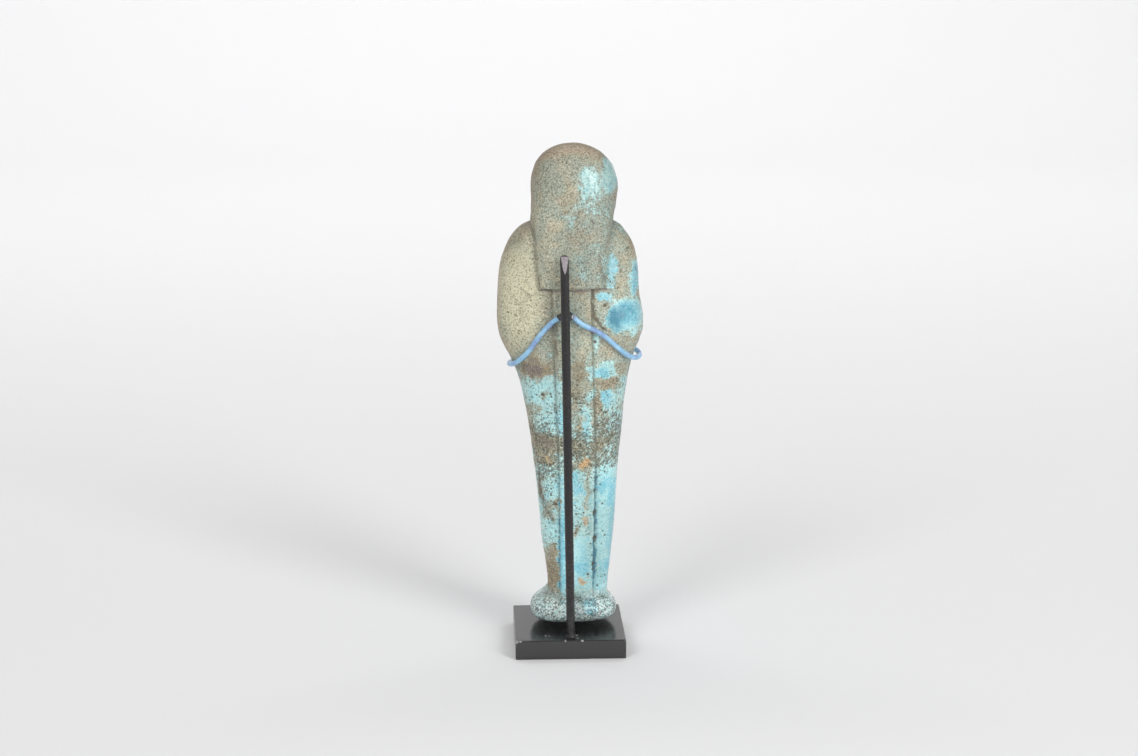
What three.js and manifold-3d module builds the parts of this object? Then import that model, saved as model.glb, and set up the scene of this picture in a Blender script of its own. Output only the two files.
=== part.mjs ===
// Ushabti figurine of glazed faience, held upright by a small museum mount:
// a square black foot plate, a thin round rod and a bent wire cradle.
//
// Units are millimetres, +Z up. The origin is the middle of the plate's
// underside. The figurine looks along -Y, so its back, the rod and the
// cradle's middle are on the +Y side. +X is the figurine's left.

import * as THREE from 'three';
import Module from 'manifold-3d';
import { mergeVertices } from 'three/addons/utils/BufferGeometryUtils.js';

const wasm = await Module();
wasm.setup();

// ------------------------------------------------------------- driving sizes
const GAP = 0.3;              // clearance between neighbouring pieces

const PLATE_SIDE = 40.0;      // square foot plate
const PLATE_T = 7.2;
const PLATE_CORNER_R = 0.7;   // eased upright edges
const PLATE_EDGE = 0.35;      // eased top and bottom edges

const ROD_D = 3.15;           // round rod
const ROD_X = -0.16;          // its foot on the plate
const ROD_Y = 15.4;
const ROD_LEAN = 1.02;        // degrees, towards +X
const ROD_TOP = 147.0;        // height of its tip
const ROD_BEVEL_FOOT = 141.0; // height where the ground facet starts, at the rear
const ROD_BEVEL_K = 2.5;      // rise of the facet for each mm of depth

const WIRE_D = 2.0;           // cradle wire

const FOOT_Z = 9.3;           // underside of the figurine's own plinth
const TOP_Z = 184.15;         // crown of the wig
const LAPPET_Z = 134.4;       // lower edge of the wig's back lappet
const HEAD = { x: -1.75, y: -2.6, z: 168.0 };      // middle of the head
const WIG = { back: 12.3, front: 11.5, p: 2.14, n: 2.12 };
const FACE = { y: -5.9, z: 166.3, rx: 9.6, ry: 10.3, rz: 12.1 };
const PLINTH = { x: -1.9, y: -2.6, half: 15.5, back: 11.0, front: 17.6, turn: 5.0, midZ: 13.1, halfZ: 3.75 };

// ------------------------------------------------------------ small functions
// smooth curve through [position, value] stations, without overshoot
function profile(stations) {
  const s = [...stations].sort((p, q) => p[0] - q[0]);
  const X = s.map((p) => p[0]), Y = s.map((p) => p[1]), n = X.length;
  const h = [], d = [], m = new Array(n);
  for (let i = 0; i < n - 1; i++) { h.push(X[i + 1] - X[i]); d.push((Y[i + 1] - Y[i]) / h[i]); }
  m[0] = d[0]; m[n - 1] = d[n - 2];
  for (let i = 1; i < n - 1; i++) {
    m[i] = d[i - 1] * d[i] <= 0 ? 0
      : 3 * (h[i - 1] + h[i]) / ((2 * h[i] + h[i - 1]) / d[i - 1] + (h[i] + 2 * h[i - 1]) / d[i]);
  }
  return (x) => {
    const q = Math.min(Math.max(x, X[0]), X[n - 1]);
    let i = 0;
    while (i < n - 2 && q >= X[i + 1]) i++;
    const t = (q - X[i]) / h[i], t2 = t * t, t3 = t2 * t;
    return (2 * t3 - 3 * t2 + 1) * Y[i] + (t3 - 2 * t2 + t) * h[i] * m[i]
      + (3 * t2 - 2 * t3) * Y[i + 1] + (t3 - t2) * h[i] * m[i + 1];
  };
}
const { min, max, abs, pow, hypot, sqrt, sin, cos, PI } = Math;
const rad = (deg) => deg * PI / 180;
const smin = (a, b, k) => { const h = max(k - abs(a - b), 0) / k; return min(a, b) - h * h * k * 0.25; };
const smax = (a, b, k) => -smin(-a, -b, k);
const step = (a, b, x) => { const t = min(max((x - a) / (b - a), 0), 1); return t * t * (3 - 2 * t); };

// signed measures of simple forms, negative inside
function section(x, y, cx, cy, a, back, front, n) {   // oval with its own back and front depth
  const u = abs(x - cx) / a, v = abs(y - cy) / (y > cy ? back : front);
  const g = pow(pow(u, n) + pow(v, n) + 1e-12, 1 / n);
  return hypot(x - cx, y - cy) * (1 - 1 / max(g, 1e-3));
}
function ellipsoid(x, y, z, c, r) {
  const px = (x - c[0]) / r[0], py = (y - c[1]) / r[1], pz = (z - c[2]) / r[2];
  const k0 = sqrt(px * px + py * py + pz * pz) + 1e-9;
  const k1 = sqrt((px / r[0]) ** 2 + (py / r[1]) ** 2 + (pz / r[2]) ** 2) + 1e-9;
  return k0 * (k0 - 1) / k1;
}
function capsule(x, y, z, a, b, ra, rb) {
  const d = [b[0] - a[0], b[1] - a[1], b[2] - a[2]], L = d[0] ** 2 + d[1] ** 2 + d[2] ** 2;
  const t = min(max(((x - a[0]) * d[0] + (y - a[1]) * d[1] + (z - a[2]) * d[2]) / L, 0), 1);
  return sqrt((x - a[0] - t * d[0]) ** 2 + (y - a[1] - t * d[1]) ** 2 + (z - a[2] - t * d[2]) ** 2)
    - (ra + (rb - ra) * t);
}
function rounded(dx, dy, r) {                         // two limits met with a rounded edge
  const ax = dx + r, ay = dy + r;
  return hypot(max(ax, 0), max(ay, 0)) + min(max(ax, ay), 0) - r;
}

// ------------------------------------------------ the figurine's profiles, by height
// half widths to each side of the plate's middle: the body is a little uneven,
// as hand-finished work is, and it stands slightly askew
const sideLeft = profile([[16, 7.2], [24, 7.4], [30, 8.1], [40, 9.5], [50, 10.3], [60, 11.2], [70, 12.5],
  [80, 13.85], [90, 15.5], [98, 17.2], [102, 18.5], [106, 20.1], [110, 22.2], [114, 24.1], [118, 25.3],
  [122, 25.75], [128, 25.6], [134, 25.2], [142, 24.1], [146, 22.85], [150, 20.9], [153, 18.6], [155, 16.2],
  [156.4, 12.5], [157.2, 8]]);
const sideRight = profile([[16, 13.9], [24, 14.3], [30, 15.0], [40, 16.0], [50, 16.8], [60, 17.25], [70, 17.9],
  [80, 18.95], [90, 19.7], [98, 20.8], [102, 21.5], [106, 22.4], [110, 23.7], [114, 25.6], [118, 26.8],
  [122, 26.75], [126, 26.1], [132, 25.0], [142, 24.1], [146, 23.3], [150, 21.7], [153, 19.6], [155, 17.8],
  [156.4, 14.5], [157.2, 9]]);
const backDepth = profile([[16, 3.3], [24, 3.7], [40, 4.7], [58, 5.7], [80, 7.2], [100, 8.6], [118, 9.5],
  [130, 9.7], [140, 9.5], [148, 8.5], [153, 6.4], [156, 3.2], [157.2, 0]]);
const frontDepth = profile([[16, -12.4], [26, -12.8], [40, -13.8], [60, -15.4], [80, -16.6], [100, -18.2],
  [112, -18.9], [124, -19.3], [134, -19.0], [142, -18.0], [149, -16.0], [153, -13.6], [156, -9.6], [157.2, -6]]);
const BODY_MID_Y = -3.2;
// dorsal pillar: middle, half width and rear face
const pillarX = profile([[20, -2.8], [58, -2.9], [130, -0.7], [140, -0.6]]);
const pillarHalf = profile([[20, 5.7], [58, 6.1], [130, 6.45], [140, 6.5]]);
const pillarY = profile([[14, 3.9], [24.7, 4.4], [58, 6.5], [90, 8.7], [124, 10.75], [140, 11.0]]);
// back lappet of the wig
const lappetHalf = profile([[134, 11.0], [141.5, 12.0], [150, 12.9], [157, 13.2], [164, 11.0], [170, 7.5]]);
const lappetX = profile([[134, -0.6], [157, -0.67], [164, -1.2]]);
const lappetY = profile([[134, 11.7], [142, 11.55], [150, 10.9], [157, 10.0], [164, 8.6], [170, 6.5]]);
// sides of the wig below the crown
const wigLeft = profile([[148, 12.9], [157, 13.2], [164, 13.0], [168, 13.3]]);
const wigRight = profile([[148, 15.0], [157, 15.3], [160, 15.9], [164, 16.6], [168, 17.1]]);
// front lappets
const frontHalf = profile([[138, 3.9], [150, 4.3], [160, 4.3], [166, 3.7], [172, 2.6]]);
const frontY = profile([[138, -21.2], [142, -20.7], [150, -18.8], [157, -15.7], [162, -12.9], [166, -10.6], [172, -7.0]]);
// how far the front lappets stand out of the crown
const over = profile([[156, 14], [160, 5.0], [164, 1.6], [168, 0.4], [172, -0.5]]);

function crown(x, y, z) {
  const { p, n } = WIG;
  const up = max(z - HEAD.z, 0) / (TOP_Z - HEAD.z);
  const a = (wigLeft(z) + wigRight(z)) / 2;
  const cx = (wigLeft(z) - wigRight(z)) / 2 + 0.75 * step(0, 1, up);
  const u = abs(x - cx) / a, v = abs(y - HEAD.y) / (y > HEAD.y ? WIG.back : WIG.front);
  const g = pow(pow(u, n) + pow(v, n) + 1e-12, 1 / n);
  const G = pow(pow(g, p) + pow(up, p) + 1e-12, 1 / p);
  return sqrt((x - cx) ** 2 + (y - HEAD.y) ** 2 + max(z - HEAD.z, 0) ** 2) * (1 - 1 / max(G, 1e-3));
}

// the whole figurine, one carved and moulded body
function figurine(x, y, z) {
  // shrouded body, with the forearms rising to the hands on the chest
  const a = (sideLeft(z) + sideRight(z)) / 2, cx = (sideLeft(z) - sideRight(z)) / 2;
  let body = section(x, y, cx, BODY_MID_Y, a, backDepth(z) - BODY_MID_Y, BODY_MID_Y - frontDepth(z),
    2.3 - 0.15 * step(110, 90, z));
  body = max(body, z - 157.4);
  const arms = capsule(abs(x + 0.9), y, z, [17.2, -11.2, 119.8], [7.2, -18.5, 134.2], 4.7, 3.6);
  body = smin(body, arms, 2.2);
  // plinth and feet
  const t = rad(PLINTH.turn), ex = x - PLINTH.x, ey = y - PLINTH.y;
  const pu = ex * cos(t) + ey * sin(t), pv = -ex * sin(t) + ey * cos(t);
  let plinth = section(pu, pv, 0, 0, PLINTH.half, PLINTH.back, PLINTH.front, pv > 0 ? 2.35 : 1.95);
  plinth = rounded(plinth, abs(z - PLINTH.midZ) - PLINTH.halfZ, z > PLINTH.midZ ? 3.7 : 2.9);
  const feet = ellipsoid(x, y, z, [-3.0, -11.0, 17.0], [10.2, 9.2, 8.2]);
  let f = smin(smin(max(body, 14 - z), feet, 3), plinth, 2.6);
  f = smax(f, FOOT_Z - z, 0.8);
  // dorsal pillar
  let pillar = rounded(abs(x - pillarX(z)) - pillarHalf(z), y - pillarY(z), 0.7);
  pillar = max(pillar, -y - 2, z - 136, 13 - z);
  f = smin(f, pillar, 0.5);
  // tripartite wig: crown, back lappet and two front lappets
  let lappet = section(x, y, lappetX(z), 1.0, lappetHalf(z), lappetY(z) - 1.0, 6.0, 3.6 - 1.3 * step(152, 164, z));
  lappet = max(smax(lappet, LAPPET_Z - z, 0.5), z - 170);
  let wig = smin(smax(crown(x, y, z), 148 - z, 3), lappet, 3.0);
  const sx = abs(x - HEAD.x);
  let front = rounded(abs(sx - 9.4) - frontHalf(z), frontY(z) - y, 2.2);
  front = max(smax(max(front, y + 4), 140.2 - z, 1.0), z - 176);
  front = smax(front, crown(x, y, z) - over(z), 1.5);
  wig = smin(wig, front, 2.4);
  let opening = (hypot((x - HEAD.x) / 9.9, (z - 165.9) / 11.9) - 1) * 9.9;
  opening = smax(smax(opening, y + 9.4, 1.6), 155.6 - z, 1.6);
  wig = smax(wig, -opening, 2.2);
  f = smin(f, wig, 1.0);
  // the head inside the wig, with a plain face
  let head = ellipsoid(x, y, z, [HEAD.x, FACE.y, FACE.z], [FACE.rx, FACE.ry, FACE.rz]);
  head = smin(head, ellipsoid(x, y, z, [HEAD.x, -9.4, 160.7], [6.5, 6.4, 5.0]), 3);
  head = smin(head, capsule(x, y, z, [HEAD.x, -6, 150], [HEAD.x, -6, 162], 7.5, 7), 1.5);
  head = smin(head, ellipsoid(x, y, z, [HEAD.x, -13.9, 158.0], [3.0, 2.2, 1.75]), 1.6);
  return smin(f, head, 1.0);
}

// ---------------------------------------------- from the measure to a closed mesh
// Rays leave a near-vertical core line: level ones up the body, a fan over the
// crown and a fan under the plinth. Each ray gives one point of the surface.
const coreX = profile([[9, -2.4], [20, -2.8], [50, -3.1], [90, -2.1], [120, -0.6], [150, -0.8], [168, -1.4], [185, -1.4]]);
const coreY = profile([[9, -6.2], [17, -6.0], [26, -4.6], [60, -4.8], [120, -5.2], [150, -4.2], [168, -3.4]]);
const LOW = 13.5, HIGH = HEAD.z;

function surfaceMesh(measure, rows, turns) {
  const hit = (z0, el, th) => {
    const o = [coreX(z0), coreY(z0), z0], d = [cos(el) * sin(th), cos(el) * cos(th), sin(el)];
    const at = (r) => measure(o[0] + r * d[0], o[1] + r * d[1], o[2] + r * d[2]);
    let out = 32, inn = 32;
    while (inn > 0.6 && at(inn) >= 0) { out = inn; inn -= 0.5; }
    for (let k = 0; k < 22; k++) { const m = (inn + out) / 2; if (at(m) < 0) inn = m; else out = m; }
    return [o[0] + inn * d[0], o[1] + inn * d[1], o[2] + inn * d[2]];
  };
  const pos = [], idx = [], n = turns.length;
  pos.push(...hit(LOW, -PI / 2, 0));
  for (const [z0, el] of rows) for (const th of turns) pos.push(...hit(z0, el, th));
  pos.push(...hit(HIGH, PI / 2, 0));
  const last = pos.length / 3 - 1, v = (i, j) => 1 + i * n + (j % n);
  for (let j = 0; j < n; j++) {
    idx.push(0, v(0, j), v(0, j + 1));
    for (let i = 0; i + 1 < rows.length; i++) {
      idx.push(v(i, j), v(i + 1, j + 1), v(i, j + 1), v(i, j), v(i + 1, j), v(i + 1, j + 1));
    }
    idx.push(last, v(rows.length - 1, j + 1), v(rows.length - 1, j));
  }
  const g = new THREE.BufferGeometry();
  g.setAttribute('position', new THREE.Float32BufferAttribute(pos, 3));
  g.setIndex(idx);
  g.computeVertexNormals();
  return g;
}

const rows = [];
for (const e of [58, 38, 27, 20, 13, 6]) rows.push([LOW, -rad(e)]);
const band = (from, to, count) => { for (let i = 0; i < count; i++) rows.push([from + (to - from) * i / count, 0]); };
band(LOW, 27, 8);
band(27, 99, 10);
band(99, 129, 9);
band(129, 134.0, 3);
rows.push([134.0, 0], [134.8, 0]);
band(136.2, 152.5, 8);
band(152.5, 159, 5);
band(159, HIGH, 6);
for (let i = 0; i < 9; i++) rows.push([HIGH, rad(90 * i / 9)]);

// turns are a little closer at the front, for the face, and at the pillar's edges
const COLUMNS = 54;
const turns = [];
for (let j = 0; j < COLUMNS; j++) {
  const t = 2 * PI * j / COLUMNS;
  turns.push(t + 0.34 * sin(t));
}

// ------------------------------------------------------ joining smaller relief
const solid = (geometry) => {
  const c = geometry.clone();
  c.deleteAttribute('normal'); c.deleteAttribute('uv');
  const m = mergeVertices(c, 1e-5);
  return new wasm.Manifold(new wasm.Mesh({
    numProp: 3,
    vertProperties: new Float32Array(m.attributes.position.array),
    triVerts: new Uint32Array(m.index.array),
  }));
};
const toGeometry = (manifold) => {
  const r = manifold.getMesh(), g = new THREE.BufferGeometry();
  g.setAttribute('position', new THREE.BufferAttribute(new Float32Array(r.vertProperties), 3));
  g.setIndex(new THREE.BufferAttribute(new Uint32Array(r.triVerts), 1));
  g.computeVertexNormals();
  return g;
};
// a rounded lump: a sphere stretched to its radii, tipped about X and set in place
function lump(x, y, z, rx, ry, rz, tipX = 0, tipY = 0, around = 10, along = 6) {
  const g = new THREE.SphereGeometry(1, around, along);
  g.rotateX(PI / 2);
  g.scale(rx, ry, rz);
  g.rotateX(rad(tipX)); g.rotateY(rad(tipY));
  g.translate(x, y, z);
  return g;
}

// ------------------------------------------------------------------- materials
const faience = new THREE.MeshStandardMaterial({ name: 'faience', color: 0x7f9d90, roughness: 0.45, metalness: 0 });
const blackPaint = new THREE.MeshStandardMaterial({ name: 'black_paint', color: 0x2d2b2b, roughness: 0.35, metalness: 0.1 });
const rodPaint = new THREE.MeshStandardMaterial({ name: 'rod_paint', color: 0x2a2727, roughness: 0.45, metalness: 0.1 });
const bluePaint = new THREE.MeshStandardMaterial({ name: 'blue_paint', color: 0x86a9dc, roughness: 0.4, metalness: 0 });

// -------------------------------------------------------------------- the pieces
const group = new THREE.Group();
function piece(name, geometry, material) {
  const mesh = new THREE.Mesh(geometry, material);
  mesh.name = name;
  group.add(mesh);
  return mesh;
}

{
  let body = solid(surfaceMesh(figurine, rows, turns));
  const hx = HEAD.x, relief = [
    lump(hx, -14.9, 166.4, 1.4, 2.4, 3.9, -10),              // nose
    lump(hx, -15.9, 164.7, 2.0, 1.8, 1.2),
    lump(hx, -15.3, 161.1, 2.5, 1.4, 1.1),                   // mouth
    lump(hx, -18.3, 150.3, 2.2, 2.2, 9.6, -24, 0, 10, 8),    // false beard
  ];
  for (const s of [-1, 1]) {
    relief.push(lump(hx + s * 4.0, -13.7, 168.0, 2.3, 1.6, 1.0));            // eye
    relief.push(lump(hx + s * 4.2, -13.6, 170.8, 3.2, 1.6, 0.7, 0, s * 4));  // brow
    relief.push(lump(hx + s * 10.3, -11.3, 166.0, 1.6, 2.0, 3.6));            // ear
    relief.push(lump(hx + s * 5.6, -20.2, 136.8, 3.7, 3.0, 3.1, 0, 0, 12, 8)); // fist
  }
  for (const g of relief) body = body.add(solid(g));
  piece('figurine', toGeometry(body), faience);
}

// foot plate: a rounded square with eased edges
{
  const h = PLATE_SIDE / 2 - PLATE_EDGE, r = PLATE_CORNER_R;
  const s = new THREE.Shape();
  s.moveTo(-h + r, -h);
  s.lineTo(h - r, -h); s.absarc(h - r, -h + r, r, -PI / 2, 0, false);
  s.lineTo(h, h - r); s.absarc(h - r, h - r, r, 0, PI / 2, false);
  s.lineTo(-h + r, h); s.absarc(-h + r, h - r, r, PI / 2, PI, false);
  s.lineTo(-h, -h + r); s.absarc(-h + r, -h + r, r, PI, 1.5 * PI, false);
  const g = new THREE.ExtrudeGeometry(s, {
    depth: PLATE_T - 2 * PLATE_EDGE, curveSegments: 3,
    bevelEnabled: true, bevelThickness: PLATE_EDGE, bevelSize: PLATE_EDGE, bevelSegments: 1,
  });
  piece('foot_plate', g, blackPaint).position.z = PLATE_EDGE;
}

// rod: a round bar, leaning a little, its tip ground to a steep facet at the rear
const lean = rad(ROD_LEAN);
const rodX = (z) => ROD_X + Math.tan(lean) * (z - PLATE_T);
{
  const foot = PLATE_T + GAP, length = (ROD_TOP - foot) / cos(lean);
  const bar = new THREE.CylinderGeometry(ROD_D / 2, ROD_D / 2, length, 20);
  bar.rotateX(PI / 2);
  bar.translate(0, 0, length / 2);
  bar.rotateY(lean);
  bar.translate(rodX(foot), ROD_Y, foot);
  // level foot: trim the slightly tilted end
  const under = new THREE.BoxGeometry(10, 10, 4);
  under.translate(rodX(foot), ROD_Y, foot - 2 + 0.03);
  // the grinding plane rises towards the front
  const slope = Math.atan(ROD_BEVEL_K);
  const cut = new THREE.BoxGeometry(10, 40, 20);
  cut.translate(0, 0, 10);
  cut.rotateX(-slope);
  cut.translate(rodX(ROD_TOP), ROD_Y + ROD_D / 2, ROD_BEVEL_FOOT);
  piece('support_rod', toGeometry(solid(bar).subtract(solid(under)).subtract(solid(cut))), rodPaint);
}

// cradle: one wire, fixed at its middle to the figurine's side of the rod, each arm
// running down and out along the back, under an elbow and round to the front
{
  const r = WIRE_D / 2;
  const midZ = 124.9, midY = ROD_Y - ROD_D / 2 - GAP - r;
  const leftArm = [[5.4, 12.1, 123.4], [7.7, 10.9, 121.1], [10.1, 10.15, 118.3], [12.1, 9.6, 115.5], [14.1, 8.75, 112.4],
    [15.8, 7.8, 110.1], [17.8, 6.05, 107.9], [19.8, 3.0, 105.9], [21.15, -1.4, 104.8], [21.0, -5.2, 104.4],
    [20.1, -9.0, 104.1], [18.6, -12.3, 104.0]];
  const rightArm = [[-0.5, 12.35, 124.7], [-2.6, 12.2, 122.9], [-5.4, 12.05, 121.1], [-8.7, 10.9, 119.4],
    [-12.0, 10.0, 117.1], [-15.0, 9.1, 114.4], [-17.9, 7.65, 111.6], [-20.6, 5.5, 109.2], [-22.9, 2.5, 107.7],
    [-24.9, -0.9, 107.1], [-25.7, -4.2, 107.2], [-25.1, -8.0, 107.8], [-23.7, -11.2, 108.1], [-21.6, -13.6, 108.2]];
  const points = [...leftArm].reverse().concat([[rodX(midZ), midY, midZ]], rightArm)
    .map((p) => new THREE.Vector3(...p));
  const path = new THREE.CatmullRomCurve3(points, false, 'centripetal');
  const ring = new THREE.Shape();
  const sides = 8;
  for (let i = 0; i < sides; i++) {
    const t = 2 * PI * i / sides, p = [r * cos(t), r * sin(t)];
    if (i) ring.lineTo(...p); else ring.moveTo(...p);
  }
  ring.closePath();
  piece('cradle_wire', new THREE.ExtrudeGeometry(ring, { steps: 52, bevelEnabled: false, extrudePath: path }), bluePaint);
}

export default group;
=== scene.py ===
# Looks for the ushabti figurine and its museum mount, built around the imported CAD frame.
# The fine surfaces are traced from the same measures and profiles as the CAD solids, in millimetres,
# and turned into metres at the end. The figurine looks along -Y; the camera sees its back, from +Y.
import bpy
import math
import numpy as np
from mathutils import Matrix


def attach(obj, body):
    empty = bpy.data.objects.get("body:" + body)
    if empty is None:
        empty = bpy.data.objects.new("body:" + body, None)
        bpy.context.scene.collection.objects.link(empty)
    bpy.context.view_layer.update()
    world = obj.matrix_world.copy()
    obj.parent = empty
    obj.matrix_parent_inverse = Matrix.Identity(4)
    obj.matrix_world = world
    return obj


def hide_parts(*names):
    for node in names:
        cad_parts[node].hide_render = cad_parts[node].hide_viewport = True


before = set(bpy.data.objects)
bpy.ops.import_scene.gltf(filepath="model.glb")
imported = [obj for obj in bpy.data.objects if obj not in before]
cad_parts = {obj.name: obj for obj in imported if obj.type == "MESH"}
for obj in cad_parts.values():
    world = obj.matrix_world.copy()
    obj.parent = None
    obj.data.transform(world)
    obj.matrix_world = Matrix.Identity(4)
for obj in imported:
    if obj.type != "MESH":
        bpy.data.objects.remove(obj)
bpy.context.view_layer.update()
MM = 0.001

# =====================================================================  small maths
def prof(keys):
    """Smooth curve through (position, value) stations, without overshoot."""
    k = np.array(sorted(keys), float)
    X, Y = k[:, 0], k[:, 1]
    h = np.diff(X)
    s = np.diff(Y) / h
    m = np.empty_like(Y)
    m[0], m[-1] = s[0], s[-1]
    for i in range(1, len(Y) - 1):
        m[i] = 0.0 if s[i - 1] * s[i] <= 0 else 3 * (h[i - 1] + h[i]) / (
            (2 * h[i] + h[i - 1]) / s[i - 1] + (h[i] + 2 * h[i - 1]) / s[i])

    def f(z):
        z = np.clip(z, X[0], X[-1])
        i = np.clip(np.searchsorted(X, z, side="right") - 1, 0, len(h) - 1)
        t = (z - X[i]) / h[i]
        t2, t3 = t * t, t * t * t
        return ((2 * t3 - 3 * t2 + 1) * Y[i] + (t3 - 2 * t2 + t) * h[i] * m[i]
                + (3 * t2 - 2 * t3) * Y[i + 1] + (t3 - t2) * h[i] * m[i + 1])
    return f


def smin(a, b, k):
    h = np.maximum(k - np.abs(a - b), 0) / k
    return np.minimum(a, b) - h * h * k * 0.25


def smax(a, b, k):
    return -smin(-a, -b, k)


def step(a, b, x):
    t = np.clip((x - a) / (b - a), 0, 1)
    return t * t * (3 - 2 * t)


def bell(x, w):
    return np.exp(-(x / w) ** 2)


def section(x, y, cx, cy, a, back, front, n):
    u = np.abs(x - cx) / a
    v = np.where(y > cy, np.abs(y - cy) / back, np.abs(y - cy) / front)
    g = np.power(np.power(u, n) + np.power(v, n) + 1e-12, 1.0 / n)
    return np.hypot(x - cx, y - cy) * (1 - 1 / np.maximum(g, 1e-3))


def ell(x, y, z, c, r):
    px, py, pz = (x - c[0]) / r[0], (y - c[1]) / r[1], (z - c[2]) / r[2]
    k0 = np.sqrt(px * px + py * py + pz * pz) + 1e-9
    k1 = np.sqrt((px / r[0]) ** 2 + (py / r[1]) ** 2 + (pz / r[2]) ** 2) + 1e-9
    return k0 * (k0 - 1) / k1


def cap(x, y, z, a, b, ra, rb):
    dx, dy, dz = b[0] - a[0], b[1] - a[1], b[2] - a[2]
    t = np.clip(((x - a[0]) * dx + (y - a[1]) * dy + (z - a[2]) * dz) / (dx * dx + dy * dy + dz * dz), 0, 1)
    return np.sqrt((x - a[0] - t * dx) ** 2 + (y - a[1] - t * dy) ** 2 + (z - a[2] - t * dz) ** 2) - (ra + (rb - ra) * t)


def rounded(dx, dy, r):
    ax, ay = dx + r, dy + r
    return np.hypot(np.maximum(ax, 0), np.maximum(ay, 0)) + np.minimum(np.maximum(ax, ay), 0) - r


def _mix32(h):
    h = (h ^ (h >> np.uint32(15))) * np.uint32(0x2C1B3C6D)
    h = (h ^ (h >> np.uint32(12))) * np.uint32(0x297A2D39)
    return h ^ (h >> np.uint32(15))


def _hash(ix, iy, iz, seed):
    with np.errstate(over="ignore"):
        h = (ix.astype(np.uint32) * np.uint32(0x9E3779B1) + iy.astype(np.uint32) * np.uint32(0x85EBCA77)
             + iz.astype(np.uint32) * np.uint32(0xC2B2AE3D) + np.uint32(seed) * np.uint32(0x27D4EB2F))
        return _mix32(h)


def _unit(h):
    return h.astype(np.float64) / 4294967295.0


def noise(P, size, seed=0):
    """Smooth value noise in 0..1, one lump every `size` mm."""
    q = P / size + 1000.0
    i = np.floor(q).astype(np.int64)
    f = q - i
    f = f * f * f * (f * (f * 6 - 15) + 10)
    out = 0
    for a in (0, 1):
        wx = f[:, 0] if a else 1 - f[:, 0]
        for b in (0, 1):
            wy = f[:, 1] if b else 1 - f[:, 1]
            for c in (0, 1):
                wz = f[:, 2] if c else 1 - f[:, 2]
                out = out + wx * wy * wz * _unit(_hash(i[:, 0] + a, i[:, 1] + b, i[:, 2] + c, seed))
    return out


def fbm(P, size, octaves, seed=0, gain=0.5):
    out, amp, tot = 0, 1.0, 0
    for o in range(octaves):
        out = out + amp * noise(P, size / 2 ** o, seed + 17 * o)
        tot += amp
        amp *= gain
    return out / tot


def cells(P, size, seed=0):
    """Nearest scattered point: its distance in mm and a random number of its own."""
    q = P / size + 1000.0
    i = np.floor(q).astype(np.int64)
    best = np.full(len(P), 1e9)
    rnd = np.zeros(len(P))
    for a in (-1, 0, 1):
        for b in (-1, 0, 1):
            for c in (-1, 0, 1):
                j0, j1, j2 = i[:, 0] + a, i[:, 1] + b, i[:, 2] + c
                h = _hash(j0, j1, j2, seed)
                with np.errstate(over="ignore"):
                    h2 = _mix32(h + np.uint32(0x68BC21EB))
                    h3 = _mix32(h2 + np.uint32(0x02E5BE93))
                    h4 = _mix32(h3 + np.uint32(0x7F4A7C15))
                d = (j0 + _unit(h) - q[:, 0]) ** 2 + (j1 + _unit(h2) - q[:, 1]) ** 2 + (j2 + _unit(h3) - q[:, 2]) ** 2
                n = d < best
                best = np.where(n, d, best)
                rnd = np.where(n, _unit(h4), rnd)
    return np.sqrt(best) * size, rnd


# =====================================================================  the figurine's form
FOOT_Z, TOP_Z, LAPPET_Z, BODY_Y = 9.3, 184.15, 134.4, -3.2
HX, HY, HZ = -1.75, -2.6, 168.0
side_left = prof([(16, 7.2), (24, 7.4), (30, 8.1), (40, 9.5), (50, 10.3), (60, 11.2), (70, 12.5), (80, 13.85), (90, 15.5),
                  (98, 17.2), (102, 18.5), (106, 20.1), (110, 22.2), (114, 24.1), (118, 25.3), (122, 25.75), (128, 25.6),
                  (134, 25.2), (142, 24.1), (146, 22.85), (150, 20.9), (153, 18.6), (155, 16.2), (156.4, 12.5), (157.2, 8)])
side_right = prof([(16, 13.9), (24, 14.3), (30, 15.0), (40, 16.0), (50, 16.8), (60, 17.25), (70, 17.9), (80, 18.95), (90, 19.7),
                   (98, 20.8), (102, 21.5), (106, 22.4), (110, 23.7), (114, 25.6), (118, 26.8), (122, 26.75), (126, 26.1),
                   (132, 25.0), (142, 24.1), (146, 23.3), (150, 21.7), (153, 19.6), (155, 17.8), (156.4, 14.5), (157.2, 9)])
back_y = prof([(16, 3.3), (24, 3.7), (40, 4.7), (58, 5.7), (80, 7.2), (100, 8.6), (118, 9.5), (130, 9.7), (140, 9.5),
               (148, 8.5), (153, 6.4), (156, 3.2), (157.2, 0)])
front_y = prof([(16, -12.4), (26, -12.8), (40, -13.8), (60, -15.4), (80, -16.6), (100, -18.0), (112, -18.9), (124, -19.3),
                (134, -19.0), (142, -18.0), (149, -16.0), (153, -13.6), (156, -9.6), (157.2, -6)])
pillar_x = prof([(20, -2.8), (58, -2.9), (130, -0.7), (140, -0.6)])
pillar_half = prof([(20, 5.7), (58, 6.1), (130, 6.45), (140, 6.5)])
pillar_y = prof([(14, 3.9), (24.7, 4.4), (58, 6.5), (90, 8.7), (124, 10.75), (140, 11.0)])
lappet_half = prof([(134, 11.8), (141.5, 12.3), (150, 12.9), (157, 13.2), (164, 11.0), (170, 7.5)])
lappet_x = prof([(134, -0.6), (157, -0.67), (164, -1.2)])
lappet_y = prof([(134, 11.7), (142, 11.55), (150, 10.9), (157, 10.0), (164, 8.6), (170, 6.5)])
wig_left = prof([(148, 12.9), (157, 13.2), (164, 13.0), (168, 13.3)])
wig_right = prof([(148, 15.0), (157, 15.3), (160, 15.9), (164, 16.6), (168, 17.1)])
front_half = prof([(138, 3.9), (150, 4.3), (160, 4.3), (166, 3.7), (172, 2.6)])
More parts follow.
